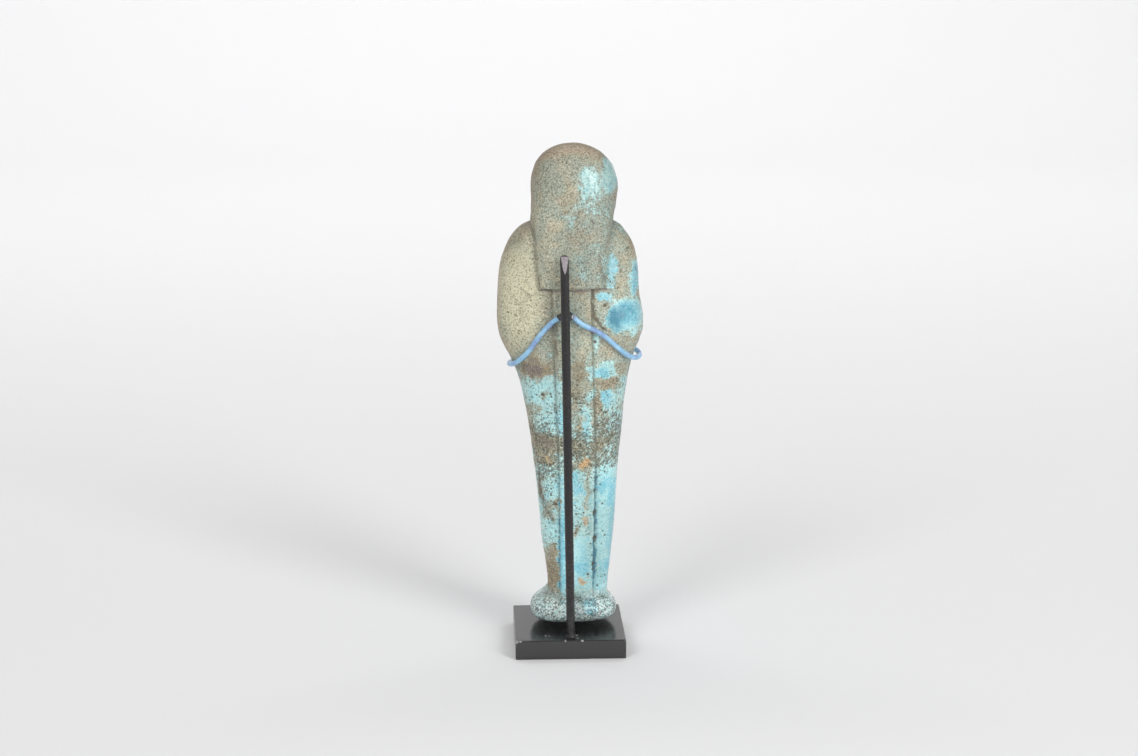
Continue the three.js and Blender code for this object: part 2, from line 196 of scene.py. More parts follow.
front_lappet_y = prof([(138, -21.2), (142, -20.7), (150, -18.8), (157, -15.7), (162, -12.9), (166, -10.6), (172, -7.0)])


over = prof([(156, 14), (160, 5.0), (164, 1.6), (168, 0.4), (172, -0.5)])


def crown(x, y, z):
    p, n = 2.14, 2.12
    up = np.maximum(z - HZ, 0) / (TOP_Z - HZ)
    a = (wig_left(z) + wig_right(z)) / 2
    cx = (wig_left(z) - wig_right(z)) / 2 + 0.75 * step(0, 1, up)
    u = np.abs(x - cx) / a
    v = np.where(y > HY, np.abs(y - HY) / 12.3, np.abs(y - HY) / 11.5)
    g = np.power(np.power(u, n) + np.power(v, n) + 1e-12, 1 / n)
    G = np.power(np.power(g, p) + np.power(up, p) + 1e-12, 1 / p)
    return np.sqrt((x - cx) ** 2 + (y - HY) ** 2 + np.maximum(z - HZ, 0) ** 2) * (1 - 1 / np.maximum(G, 1e-3))


def low_form(x, y, z):
    """Body, forearms, plinth, feet and pillar."""
    a, cx = (side_left(z) + side_right(z)) / 2, (side_left(z) - side_right(z)) / 2
    body = section(x, y, cx, BODY_Y, a, back_y(z) - BODY_Y, BODY_Y - front_y(z), 2.3 - 0.15 * step(110, 90, z))
    body = np.maximum(body, z - 157.4)
    if z.max() > 105:
        arms = cap(np.abs(x + 0.9), y, z, (17.2, -11.2, 119.8), (7.2, -18.5, 134.2), 4.7, 3.6)
        body = smin(body, arms, 1.0)
    f = body
    if z.min() < 32:
        t = math.radians(5.0)
        ex, ey = x + 1.9, y + 2.6
        pu, pv = ex * math.cos(t) + ey * math.sin(t), -ex * math.sin(t) + ey * math.cos(t)
        pl = section(pu, pv, 0.0, 0.0, 15.5, 11.0, 17.6, np.where(pv > 0, 2.35, 1.95))
        pl = rounded(pl, np.abs(z - 13.1) - 3.75, np.where(z > 13.1, 3.7, 2.9))
        feet = ell(x, y, z, (-3.0, -11.0, 17.0), (10.2, 9.2, 8.2))
        # a shallow hollow between the two feet, and toes that turn up a little
        feet = smax(feet, -cap(x, y, z, (-2.9, -12.0, 27.0), (-2.9, -21.8, 18.6), 1.5, 2.4), 1.2)
        f = smin(smin(np.maximum(body, 14 - z), feet, 3.0), pl, 2.6)
        f = smax(f, FOOT_Z - z, 0.8)
    pil = rounded(np.abs(x - pillar_x(z)) - pillar_half(z), y - pillar_y(z), 0.7)
    pil = np.maximum(np.maximum(np.maximum(pil, -y - 2), z - 136), 13.0 - z)
    return smin(f, pil, 0.5)


def head_form(x, y, z):
    """Wig, head, beard, fists and hoes."""
    lap = section(x, y, lappet_x(z), 1.0, lappet_half(z), lappet_y(z) - 1.0, 6.0, 4.6 - 1.2 * step(137, 150, z) - 1.1 * step(152, 164, z))
    lap = np.maximum(smax(lap, LAPPET_Z - z, 0.45), z - 170)
    wig = smin(smax(crown(x, y, z), 148 - z, 3.0), lap, 3.0)
    sx = np.abs(x - HX)
    fl = rounded(np.abs(sx - 9.4) - front_half(z), front_lappet_y(z) - y, 1.3)
    fl = np.maximum(smax(np.maximum(fl, y + 4), 140.2 - z, 0.7), z - 176)
    fl = smax(fl, crown(x, y, z) - over(z), 1.5)
    wig = smin(wig, fl, 0.8 + 1.7 * step(155, 164, z))
    op = (np.hypot((x - HX) / 9.9, (z - 165.9) / 11.9) - 1) * 9.9
    op = smax(smax(op, y + 9.4, 0.9), 155.6 - z, 1.0)
    wig = smax(wig, -op, 0.45)
    hx = x - HX
    head = ell(hx, y, z, (0, -5.9, 166.3), (9.6, 10.3, 12.1))
    head = smin(head, ell(hx, y, z, (0, -9.4, 160.7), (6.5, 6.4, 5.0)), 3.0)
    head = smin(head, ell(sx, y, z, (4.8, -11.7, 163.6), (3.4, 3.2, 3.3)), 2.2)
    head = smin(head, cap(hx, y, z, (0, -6, 150), (0, -6, 162), 7.4, 6.8), 1.5)
    # nose
    nose = smin(cap(hx, y, z, (0, -15.5, 169.9), (0, -17.3, 165.2), 0.78, 1.30),
                ell(sx, y, z, (1.0, -16.5, 164.95), (1.1, 1.35, 0.9)), 0.6)
    head = smin(head, nose, 0.8)
    # eye hollows, brow and lens of the eye
    head = smax(head, -ell(sx, y, z, (3.95, -16.5, 168.0), (3.2, 2.3, 1.75)), 0.9)
    head = smin(head, cap(sx, y, z, (1.8, -15.50, 170.8), (6.5, -13.45, 170.8), 0.58, 0.36), 0.6)
    head = smin(head, ell(sx, y, z, (3.95, -13.85, 167.9), (2.45, 1.45, 1.0)), 0.2)
    # mouth and chin
    head = smin(head, ell(sx, y, z, (0.85, -15.65, 161.75), (1.95, 1.15, 0.62)), 0.25)
    head = smin(head, ell(hx, y, z, (0, -15.55, 160.45), (2.05, 1.15, 0.72)), 0.25)
    head = smin(head, ell(hx, y, z, (0, -13.9, 158.0), (3.0, 2.2, 1.75)), 1.3)
    f = smin(wig, head, 0.35)
    ear = smax(ell(sx, y, z, (10.3, -11.4, 166.0), (1.65, 2.1, 3.6)), -ell(sx, y, z, (9.9, -13.6, 166.3), (0.8, 1.2, 2.2)), 0.4)
    f = smin(f, ear, 0.35)
    # false beard, its tip turned forward
    f = smin(f, smin(cap(hx, y, z, (0, -15.6, 157), (0.1, -19.9, 145.5), 1.4, 1.9),
                     cap(hx, y, z, (0.1, -19.9, 145.5), (0.1, -21.2, 143.4), 1.9, 1.45), 0.6), 0.45)
    # fists, thumbs and the hoes that they hold
    f = smin(f, ell(sx, y, z, (5.6, -19.9, 136.6), (3.5, 3.1, 3.1)), 0.5)
    f = smin(f, cap(sx, y, z, (3.6, -21.9, 138.9), (6.2, -22.2, 139.2), 0.80, 0.75), 0.3)
    hoe = smin(cap(sx, y, z, (5.6, -21.8, 139.4), (9.0, -18.4, 152.3), 0.95, 0.85),
               cap(sx, y, z, (8.8, -18.3, 152.5), (12.0, -18.3, 148.6), 0.85, 1.35), 0.4)
    return smin(f, hoe, 0.35)


core_x = prof([(9, -2.4), (20, -2.8), (50, -3.1), (90, -2.1), (120, -0.6), (150, -0.8), (168, -1.4), (185, -1.4)])
core_y = prof([(9, -6.2), (17, -6.0), (26, -4.6), (60, -4.8), (120, -5.2), (150, -4.2), (168, -3.4)])
LOW, HIGH = 13.5, 173.0


def make_rows(fine):
    rows = []
    n = 26 if fine else 8
    rows += [(LOW, -math.radians(90 - 90 * (i / n) ** 0.8)) for i in range(1, n)]

    def band(a, b, pitch):
        m = max(2, int(round((b - a) / (pitch if fine else pitch * 3))))
        rows.extend((a + (b - a) * i / m, 0.0) for i in range(m))
    band(LOW, 27, 0.46)
    band(27, 99, 0.62)
    band(99, 129, 0.58)
    band(129, 133.4, 0.44)
    band(133.4, 135.4, 0.20)
    band(135.4, 155, 0.44)
    band(155, HIGH, 0.29)
    n = 30 if fine else 10
    rows += [(HIGH, math.radians(90) * i / n) for i in range(n)]
    return rows


def trace(rows, cols, r0=None, reach=2.2):
    """Distance along each ray to the surface. With r0, only looks within `reach` mm of it."""
    R = np.zeros((len(rows), len(cols)))
    th = np.array(cols)[None, :]
    z0 = np.array([r[0] for r in rows])
    el = np.array([r[1] for r in rows])
    low = (z0 < 128.0) & (el < 0.01)
    for part in (low, ~low):
        idx = np.nonzero(part)[0]
        if not len(idx):
            continue
        Z0, EL = z0[idx][:, None] + 0 * th, el[idx][:, None] + 0 * th
        OX, OY = core_x(Z0), core_y(Z0)
        DX, DY, DZ = np.cos(EL) * np.sin(th), np.cos(EL) * np.cos(th), np.sin(EL)
        high = not bool(low[idx][0])

        def F(t):
            x, y, z = OX + t * DX, OY + t * DY, Z0 + t * DZ
            v = low_form(x, y, z)
            if high:
                v = smin(v, head_form(x, y, z), 0.40 + 1.3 * step(-4, 3, y) * step(136.0, 141.0, z))
            return v
        if r0 is None:
            start = np.full(Z0.shape, 31.0)
            dt, steps = 0.6, 52
        else:
            start = r0[idx] + reach
            dt = 0.35
            steps = int(2 * reach / dt) + 1
        hi = start.copy()
        lo = np.full(Z0.shape, np.nan)
        t = start.copy()
        for _ in range(steps):
            v = F(t)
            new = np.isnan(lo) & (v < 0)
            lo[new] = t[new]
            run = np.isnan(lo)
            if not run.any():
                break
            hi = np.where(run, t, hi)
            t = np.where(run, t - dt, t)
        lo = np.where(np.isnan(lo), 0.5, lo)
        hi = np.where(hi <= lo, lo + dt, hi)
        for _ in range(11):
            m = (lo + hi) / 2
            ins = F(m) < 0
            lo, hi = np.where(ins, m, lo), np.where(ins, hi, m)
        R[idx] = (lo + hi) / 2
    X = core_x(z0)[:, None] + R * np.cos(el)[:, None] * np.sin(th)
    Y = core_y(z0)[:, None] + R * np.cos(el)[:, None] * np.cos(th)
    Z = z0[:, None] + R * np.sin(el)[:, None]
    return R, X, Y, Z


def grid_normals(X, Y, Z):
    P = np.stack([X, Y, Z], -1)
    dj = np.roll(P, -1, 1) - np.roll(P, 1, 1)
    di = np.empty_like(P)
    di[1:-1] = P[2:] - P[:-2]
    di[0] = P[1] - P[0]
    di[-1] = P[-1] - P[-2]
    n = np.cross(di, dj)
    return n / np.maximum(np.linalg.norm(n, axis=-1, keepdims=True), 1e-9)


def blur(A, n):
    for _ in range(n):
        A = (A * 2 + np.roll(A, 1, 1) + np.roll(A, -1, 1)) / 4
        B = A.copy()
        B[1:-1] = (A[1:-1] * 2 + A[:-2] + A[2:]) / 4
        A = B
    return A


def resample(Rc, rows_c, cols_c, rows, cols):
    """Coarse ray lengths spread to the fine rays."""
    key = lambda r: r[0] + 40.0 * r[1] / (math.pi / 2)
    kc, kf = np.array([key(r) for r in rows_c]), np.array([key(r) for r in rows])
    A = np.array([np.interp(cols, list(cols_c) + [cols_c[0] + 2 * math.pi], list(row) + [row[0]]) for row in Rc])
    return np.array([np.interp(kf, kc, A[:, j]) for j in range(A.shape[1])]).T


def turns(n):
    t = np.arange(n) * 2 * math.pi / n
    return t + 0.28 * np.sin(t)


# =====================================================================  where the glaze lives and how it wore
# (x, z, half width, half height, strength) on the back, in mm; the marks are soft blots with noise-torn edges
BLOTS = {
    "glaze": [(-6.5, 142, 6.0, 8.5, 0.42), (-9.5, 159, 6.5, 8, 0.30), (-4, 152, 6, 6, 0.16), (7.5, 49, 3.5, 10, 0.45), (1, 118, 4.5, 12, 0.22),
              (-6.5, 171, 4.2, 6.5, 1), (-0.7, 163.2, 2.6, 1.8, 0.55), (0.7, 158.4, 1.9, 2.5, 0.6), (-13.8, 173.7, 3.2, 5.8, 0.9),
              (-10.8, 140.2, 1.8, 5.9, 0.55), (-1.2, 140, 1.1, 4.8, 0.35), (-14.4, 139.9, 1.8, 7, 0.8), (-23.6, 137.3, 2, 6.1, 0.85),
              (-11.4, 131, 2.3, 2.2, 1), (-18.9, 123.8, 6.7, 4.9, 1.1), (-12, 118.7, 2.8, 1.8, 0.35), (-20, 117.7, 5, 1.8, 0.45),
              (-9, 114.6, 1.2, 3.4, 0.75), (-8.7, 109.3, 2, 1.8, 0.4), (-11.8, 103.5, 5, 2.9, 1), (-14.6, 99.5, 1.3, 1.1, 0.8),
              (-13.8, 93.2, 1.8, 3.3, 1), (-8, 95.4, 1.6, 1.8, 0.6), (-16.1, 86.3, 2.5, 4.8, 0.75), (-18.6, 96.4, 1.8, 5.9, 0.5),
              (-5.8, 84.1, 1.4, 5.4, 0.95), (-6.7, 105, 0.7, 2.4, 0.7), (9.5, 96.5, 5.7, 5.5, 1.05), (7.4, 84.9, 4.3, 4.4, 0.95),
              (12, 89.6, 1.8, 1.5, 0.3), (7.8, 111.4, 2.8, 2.4, 0.3), (-8.3, 76.4, 2.5, 2.2, 0.2), (-15.1, 75.1, 2.5, 2.2, 0.35),
              (5.7, 64.9, 3.1, 2.6, 0.6), (6.4, 60.3, 3.8, 3.9, 0.8), (6.4, 52.4, 3.1, 3.8, 0.55), (6, 44.5, 3.1, 4, 0.8),
              (2.3, 38.2, 1.1, 21.3, 1.1), (-3, 61.6, 2.2, 4.9, 1), (-6.7, 56.6, 1.4, 8.3, 0.5), (-4.9, 31.1, 3.5, 10.7, 1.15),
              (-2.9, 52.4, 2, 4.1, 0.75), (-13.4, 42, 4.2, 25.5, 1.5), (-9.6, 43.8, 0.9, 22.8, 0.9), (-7.6, 15.9, 3.3, 2.7, 1.1),
              (-0.6, 16.2, 2.6, 1.9, 0.4), (-14.5, 16.6, 2.9, 3.1, 0.55), (10.6, 16.2, 2.9, 1.7, 0.3)],
    "bare": [(8.6, 95.1, 1.2, 1.8, 0.9), (-12.6, 99, 3.9, 2.2, 0.9), (-10.1, 91.7, 1.4, 2.9, 0.9), (-13.2, 78.1, 2.2, 1.9, 0.4),
             (-9.5, 126.7, 3.2, 3.2, 0.5), (-17.5, 113.5, 4.6, 2.9, 0.7), (-4.6, 180.1, 5.9, 2.5, 0.6)],
    "brown": [(12.9, 105.1, 3.4, 3.8, 1), (7.6, 104.6, 2, 2.2, 0.8), (8.2, 77, 5.2, 3.5, 0.95), (8.2, 70.7, 3.4, 2.6, 0.85),
              (6.4, 24.0, 2.6, 9.5, 1), (5.6, 33.5, 2.0, 6.5, 0.72), (9.9, 59.1, 1.5, 4.2, 0.62), (7.4, 51.2, 2.7, 4.7, 0.62), (-3.5, 104.8, 2.5, 5.1, 0.75),
              (-2.5, 96.3, 1.8, 2.6, 0.5), (-4, 83.4, 1.1, 2.4, 0.5), (-12.6, 99, 3.9, 2.2, 0.75), (-10.1, 91.7, 1.4, 2.9, 0.7),
              (-18.3, 104.2, 1.6, 2.2, 0.8), (-10.4, 75.2, 3.1, 3.5, 0.8), (-15.1, 72, 2.5, 3, 0.45), (-3.9, 75.3, 2.7, 3.3, 0.45),
              (-4.3, 69, 3.1, 2.8, 0.7), (-6.1, 58.5, 1.3, 7.1, 0.6), (-2.6, 43.3, 0.9, 2.1, 0.7), (-3.7, 133.2, 1.8, 1.1, 1),
              (7, 133.7, 3.3, 0.7, 0.6), (-9.1, 133.7, 3.5, 0.5, 0.6), (7.9, 140, 2.8, 5.3, 0.35), (8.6, 178.8, 5.3, 3.5, 0.2),
              (-14.2, 163.2, 2.1, 3.4, 0.25), (4.8, 53.6, 1.1, 1.7, 0.8), (-16.8, 89.2, 1.4, 1.5, 0.35), (-20.1, 88.9, 0.7, 2.6, 0.5),
              (-6.2, 27.2, 1.5, 1.5, 0.5)],
    "orange": [(-5.3, 55.5, 0.7, 5.5, 0.55), (3.0, 74.0, 2.0, 2.0, 0.4), (-4.6, 86.5, 1.2, 2.6, 0.6), (-5.2, 69.6, 1.4, 2.2, 1), (-5.5, 47.9, 1.3, 2.1, 0.9), (-5.1, 24.4, 1.1, 1.2, 1.1), (8.4, 70.5, 2.5, 2.1, 0.6),
               (-4.2, 83.4, 0.9, 1.7, 0.6), (7.6, 104.6, 1.6, 1.5, 0.5), (-5.8, 60, 0.9, 4.1, 0.5), (-9.9, 75.9, 1.8, 2.2, 0.35)],
    "deep": [(-17.0, 123.2, 3.5, 3.6, 1.1), (-20.6, 124.4, 3.0, 3.0, 0.75), (-15.0, 126.2, 1.8, 1.6, 0.7), (-23.1, 123.4, 2.3, 4, 0.6), (-23.8, 136.6, 1.4, 5.4, 0.7),
             (-9.2, 43.8, 0.8, 23.5, 0.5), (-4.5, 30.7, 2.6, 8.6, 0.30), (-11.1, 103.4, 1.8, 1.6, 0.5), (-13.4, 93.8, 1.4, 2.4, 0.35),
             (-2.7, 61.8, 1.8, 4.7, 0.35), (-11.2, 130.8, 1.4, 1.3, 0.35), (-2.7, 86.2, 0.5, 7.4, 0.2), (-13.9, 170.4, 1.2, 1.2, 0.4),
             (-7.6, 15.9, 2.9, 1.9, 0.45), (2.3, 38.2, 0.7, 20.5, 0.4)],
    "cream": [(17.6, 131.2, 7.1, 20.1, 0.78), (17.1, 136.6, 5.8, 6.8, 0.5), (-4.2, 112.6, 2.8, 4, 0.4), (-18.2, 150.9, 3.2, 4.8, 0.5)],
    "dark": [(12.9, 104.7, 3, 2.7, 0.8), (8.1, 77, 4.7, 2.4, 0.6)],
    "blue": [(-14.4, 139.9, 2.0, 7, 0.7), (-9.5, 22, 3, 6, 0.5), (-18.9, 123.8, 6.5, 4.6, 0.9), (-11.4, 131.3, 2.6, 2.4, 0.7), (-23.8, 136, 1.6, 6, 0.8), (-4.9, 30.5, 3.0, 9.5, 0.55),
             (-7.8, 15.6, 2.8, 2.6, 0.8), (-2.8, 61.5, 2.0, 4.6, 0.6), (-12.6, 62, 3.0, 5.0, 0.5), (-15.4, 40, 1.6, 22, 0.7),
             (-10.8, 103.6, 3.2, 2.0, 0.8), (-13.4, 93.8, 1.8, 3.4, 0.8), (-5.6, 84.5, 1.3, 5.4, 0.6), (3.3, 87, 1.2, 8, 0.7),
             (2.4, 38.2, 1.2, 21, 0.9), (8.9, 55.5, 1.5, 4.5, 0.6)],
    "speck": [(9.6, 58, 2.2, 7, 0.5), (7.6, 50, 2.6, 4.5, 0.8), (-11.0, 60, 2.4, 7, 0.35), (-10.5, 30, 2.2, 9, 0.40), (17.0, 128, 6, 14, 0.25),
              (8.5, 80.5, 4.5, 3.0, 0.6), (-3.6, 76.5, 3.6, 3.8, 0.9), (-14.0, 80, 4.5, 7.0, 0.7), (-12.5, 72, 4.5, 4.5, 0.7),
              (7.6, 64, 3.6, 4.5, 0.6), (7.2, 40.5, 2.6, 4.5, 0.6), (6.4, 24.5, 2.6, 5.5, 0.5), (-8.5, 18.5, 1.6, 4.0, 0.3),
              (-2.6, 49.5, 2.2, 5.5, 0.45), (-7.6, 38, 1.0, 12, 0.5), (-1.5, 98, 3.0, 7.0, 0.35)],
    "lift": [(9.0, 157, 5.5, 11, 0.60), (9.5, 16.5, 6, 5, 0.62), (-12, 16.5, 4, 4.5, 0.75), (9.5, 42, 3.5, 22, 0.50), (10, 92, 5, 16, 0.25), (-9.5, 73, 7, 6, 0.85), (8, 73, 6, 5, 0.2)],
    "lower": [(-2.5, 149, 5.5, 8, 0.35), (-10, 158, 4.5, 9, 0.45), (-8.0, 142, 5.5, 8, 0.85), (-16.5, 90, 4.5, 20, 0.35), (-13.5, 44, 4.0, 24, 0.35),
              (-12.5, 103, 6, 4, 0.3), (-18.9, 123.8, 6.7, 4.9, 0.25), (-13.8, 173.7, 3.4, 6, 0.6), (-6.5, 171, 4.4, 6.8, 0.22), (-10.8, 44, 3.4, 24, 0.62), (-2, 15, 4.8, 4.8, 0.75), (-2.5, 127, 5, 6, 0.4), (16.5, 131, 7, 15, 0.42), (19, 147, 4.5, 7, 0.3), (-14.6, 140, 2.4, 7, 0.55), (12.9, 105, 3.4, 3.8, 0.4)],
    "gloss": [(-6.5, 171.1, 3.8, 5.6, 1), (-14.1, 173.2, 2.1, 4.9, 0.5), (-13.4, 42, 4.2, 25.5, 0.7), (-4.9, 31.1, 3.5, 10.7, 0.6),
              (-19.2, 123.8, 6.4, 4.5, 0.5), (9.5, 96.5, 5.7, 5.5, 0.4)],
}
PITS = [(-8.8, 114.9, 0.75), (6.8, 95.6, 0.6), (-6.8, 27.1, 0.55), (-2.3, 43.2, 0.55), (-9.1, 59.2, 0.75), (-9.1, 51.0, 0.85), (-9.0, 49.9, 0.6),
        (-9.4, 40.9, 0.85), (-9.2, 39.4, 0.6), (-8.7, 30.8, 0.8), (-8.6, 28.9, 0.6), (9.6, 95.2, 0.8), (-12.3, 127.9, 0.8), (-10.3, 22.0, 0.5), (-11.1, 61.1, 0.4), (-12.1, 53.7, 0.45), (-12.3, 48.5, 0.35),
        (-12.2, 43.1, 0.4), (-13.0, 41.3, 0.45), (-11.8, 38.3, 0.35), (-13.2, 25.4, 0.4), (-11.6, 25.3, 0.35), (-13.0, 22.6, 0.35),
        (4.8, 53.8, 0.6), (-15.2, 144.9, 0.4), (-20.4, 147.4, 0.5), (-13.8, 128.7, 0.45), (15.5, 124.1, 0.4), (18.0, 118.5, 0.4),
        (13.8, 130.0, 0.35), (8.5, 127.3, 0.45), (21.8, 125.0, 0.35)]
CRACKS = [[(16.7, 134.1), (15.2, 131.3), (13.1, 131.6), (9.9, 133.7)], [(15.2, 131.3), (17.3, 126.5), (16.6, 123.3)],
          [(-7.7, 133.0), (-7.8, 128.2), (-8.0, 124.1), (-9.1, 122.4), (-10.8, 120.4), (-12.0, 119.0)],
          [(10.3, 66.0), (10.5, 61.6), (10.3, 57.8), (9.4, 54.4), (8.3, 52.2), (7.2, 50.3), (6.2, 48.2), (5.1, 46.2)],
          [(5.0, 121.4), (5.3, 116.0), (5.2, 110.0)], [(9.6, 82.5), (8.2, 80.0), (7.4, 77.5)],
          [(9.7, 161.0), (10.2, 155.0), (9.9, 151.0)], [(-9.9, 146.5), (-10.9, 139.5), (-11.8, 134.5)]]
CRACK_POWER = [0.5, 0.30, 1.2, 1.15, 0.8, 0.5, 0.35, 0.7]


def polyline_distance(x, z, pts):
    best = np.full(x.shape, 1e9)
    for (ax, az), (bx, bz) in zip(pts[:-1], pts[1:]):
        dx, dz = bx - ax, bz - az
        t = np.clip(((x - ax) * dx + (z - az) * dz) / (dx * dx + dz * dz), 0, 1)
        best = np.minimum(best, np.hypot(x - ax - t * dx, z - az - t * dz))
    return best


def build_figurine():
    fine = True
    rows = make_rows(fine)
    cols = turns(248 if fine else 96)
    rows_c = make_rows(False)[::2] if fine else None
    if fine:
        rows_c = [r for i, r in enumerate(make_rows(False)) if i % 2 == 0]
        cols_c = turns(84)
        Rc = trace(rows_c, cols_c)[0]
        R0 = resample(Rc, rows_c, cols_c, rows, cols)
        # look a little further out than the default reach everywhere, as the coarse lengths can change fast
        R, X, Y, Z = trace(rows, cols, R0, 3.2)
    else:
        R, X, Y, Z = trace(rows, cols)
    nr, nc = X.shape
    N = grid_normals(X, Y, Z)
    P = np.stack([X, Y, Z], -1).reshape(-1, 3)
    n = N.reshape(-1, 3)
    x, y, z = P.T
    rear = step(-6.0, -1.5, y)                     # 1 on the side that the marks describe
    sx = np.abs(x - HX)

    # ---- cavities, from the shape itself
    B = blur(np.stack([X, Y, Z], -1).reshape(nr, nc, 3), 3)
    cav = np.clip(((B - np.stack([X, Y, Z], -1)) * N).sum(-1) / 0.10, 0, 1).reshape(-1)
    bump_out = np.clip(-((B - np.stack([X, Y, Z], -1)) * N).sum(-1) / 0.10, 0, 1).reshape(-1)

    # ---- maps
    warp = np.stack([fbm(P, 3.2, 3, 5) - 0.5, fbm(P, 3.2, 3, 91) - 0.5], 1) * 3.4
    warp = warp + np.stack([fbm(P, 1.2, 2, 205) - 0.5, fbm(P, 1.2, 2, 291) - 0.5], 1) * 1.7
    wx, wz = x + warp[:, 0], z + warp[:, 1]
    n_big, n_mid, n_fine = fbm(P, 14, 3, 11), fbm(P, 4.5, 3, 23), fbm(P, 1.6, 2, 37)

    torn = step(-9.5, -0.5, y + 7.5 * (fbm(P, 3.2, 3, 77) - 0.5))

    def blots(kind, soft=0.55):
        out = np.zeros(len(P))
        for (bx, bz, rx, rz, s) in BLOTS[kind]:
            d = np.sqrt(((wx - bx) / (rx * 1.08 + 0.25)) ** 2 + ((wz - bz) / (rz * 1.08 + 0.25)) ** 2)
            out = np.maximum(out, s * (1 - step(1 - soft, 1 + soft, d)))
        return out * torn

    # the share of glaze that survives: little on the wig and shoulders, most on the legs
    base = prof([(9, 0.46), (20, 0.50), (30, 0.62), (55, 0.62), (66, 0.56), (76, 0.47), (90, 0.42), (108, 0.30), (120, 0.16),
                 (150, 0.13), (158, 0.15), (185, 0.10)])(z)
    base = base + 0.14 * step(4, -12, x) * step(60, 110, z) * step(186, 150, z) - 0.16 * step(6, 16, x) * step(104, 118, z) * rear
    glaze = base + 0.24 * bell(z - 73.5, 8) * rear + 0.60 * (n_big - 0.5) + 0.50 * (n_mid - 0.5)
    glaze = glaze + 0.66 * blots("glaze") - 0.75 * blots("bare") - 0.5 * blots("brown", 0.4)
    front_base = (1 - rear) * (0.16 * step(150, 120, z) + 0.10)
    glaze = np.clip(glaze + front_base - 0.25 * bump_out * step(120, 60, z) * (1 - rear), 0, 1.4)
    # hollows beside the pillar keep their glaze, thick and blue
    edge_r = bell(x - (pillar_x(z) - pillar_half(z) - 0.55), 0.74) * rear * step(135, 132, z) * step(15, 20, z)
    edge_l = bell(x - (pillar_x(z) + pillar_half(z) + 0.45), 0.65) * rear * step(135, 132, z) * step(15, 20, z)
    leg = step(69, 63, z)
    brown = np.clip(blots("brown", 0.7) * (0.78 + 0.75 * n_mid) * (1 - (0.70 + 0.20 * step(0, -6, x)) * bell(z - 73.5, 8.5)) + 0.9 * np.clip(fbm(P, 9, 3, 51) - 0.60, 0, 1) * 4 * (1 - rear) * step(150, 60, z)
                    + 0.35 * cav * step(128, 140, z) + 0.20 * cav, 0, 1.3)
    deep = np.clip(1.0 * blots("deep", 0.8) * (0.35 + 1.3 * n_mid) + 0.46 * edge_r * leg * (0.1 + 1.5 * n_mid) + 0.35 * edge_l * leg
                   + 0.4 * cav * step(75, 65, z) + (1 - rear) * np.clip(fbm(P, 10, 2, 67) - 0.58, 0, 1) * 2.5, 0, 1.3)
    cream = np.clip(blots("cream", 0.6) * (0.75 + 0.5 * n_mid) + (1 - rear) * step(112, 130, z) * 0.6 * n_big, 0, 1.2)
    orange = blots("orange", 0.8)
    # dark stains, and a painted shadow line just under the lappet's bottom edge
    dark = np.clip(blots("dark") + 1.45 * bell(z - 133.65, 0.46) * rear * step(12.6, 11.8, np.abs(x + 0.85)) * (0.5 + 0.9 * n_mid), 0, 1.2)
    gloss = np.clip(blots("gloss", 0.7) + 0.3 * step(0.6, 1.0, glaze), 0, 1.2)
    plinth = step(22.0, 17.5, z + 1.6 * (n_mid - 0.5))
    warm = np.clip(step(6.0, -2.0, y) * 0.90 + 0.8 * step(176, 183, z) + 0.5 * step(0.56, 0.70, n_big), 0, 1)
    blue = np.clip(blots("blue", 0.7) + 0.5 * step(0.58, 0.72, fbm(P, 6, 3, 141)) * step(72, 60, z), 0, 1)
    # tone: random variation, darker on the wig, set patches lighter or darker, and a painted side shade darkening the
    # band where the sides turn away (near y = -1.5)
    tone = np.clip(0.50 + 0.55 * (fbm(P, 16, 2, 201) - 0.5) - 0.30 * step(138, 154, z) * (1 - 0.5 * blots("gloss", 0.7)) + 0.16 * step(112, 70, z)
                   * step(-8, 2, x) - 0.22 * step(144, 150, z) * step(12, 16, np.abs(x)) - 0.10 * blots("deep", 0.7)
                   - 0.34 * bell(y + 1.5, 4.2) * (0.4 + 1.2 * n_mid) + 0.5 * blots("lift", 0.7) - 0.5 * blots("lower", 0.7), -0.2, 1.2)
    speck = np.clip(0.26 + 0.50 * bell(z - 73, 9.5) + 0.30 * bell(z - 92, 14) - 0.40 * blots("gloss", 0.7) + 0.6 * blots("speck", 0.6)
                    + 0.55 * (n_mid - 0.5) - 0.10 * step(-7, -10, x) * leg * rear - 0.25 * blots("cream", 0.6), 0, 1)

    # ---- relief
    d = np.zeros(len(P))
    d -= 0.16 * (fbm(P, 13, 2, 3)) + 0.13 * fbm(P, 4.0, 3, 7) - 0.09
    d -= 0.10 * step(0.75, 0.45, glaze + 0.5 * (n_fine - 0.5))             # the body lies a little lower where the glaze is gone
    if fine:
        dist, r = cells(P, 2.1, 13)
        rad = 0.28 + 0.42 * r
        d -= np.where(r > 0.35, (0.14 + 0.20 * (r - 0.35)) * np.exp(-(dist / rad) ** 2), 0) * (0.55 + 0.45 * speck)
        dist2, r2 = cells(P, 1.15, 29)
        d -= np.where(r2 > 0.5, 0.10 * np.exp(-(dist2 / (0.16 + 0.18 * r2)) ** 2), 0) * (0.4 + 0.6 * speck)
    pit = np.zeros(len(P))
    for (px, pz, pr) in PITS:
        q = np.exp(-(((x - px) ** 2 + (z - pz) ** 2) / pr ** 2)) * rear
        pit = np.maximum(pit, q)
    d -= 0.5 * pit
    crack_and_shade = np.zeros(len(P))
    for line, power in zip(CRACKS, CRACK_POWER):
        q = polyline_distance(x + 2.0 * (n_fine - 0.5), z + 1.6 * (n_mid - 0.5), line)
        crack_and_shade = np.maximum(crack_and_shade, power * bell(q, 0.42) * np.clip(2.6 * n_fine - 0.35, 0, 1.1))
        brown = np.maximum(brown, power * rear * bell(q, 1.25) * np.clip(3.2 * (n_fine - 0.40), 0, 0.8))
    crack_and_shade = crack_and_shade * rear
    d -= 0.16 * crack_and_shade
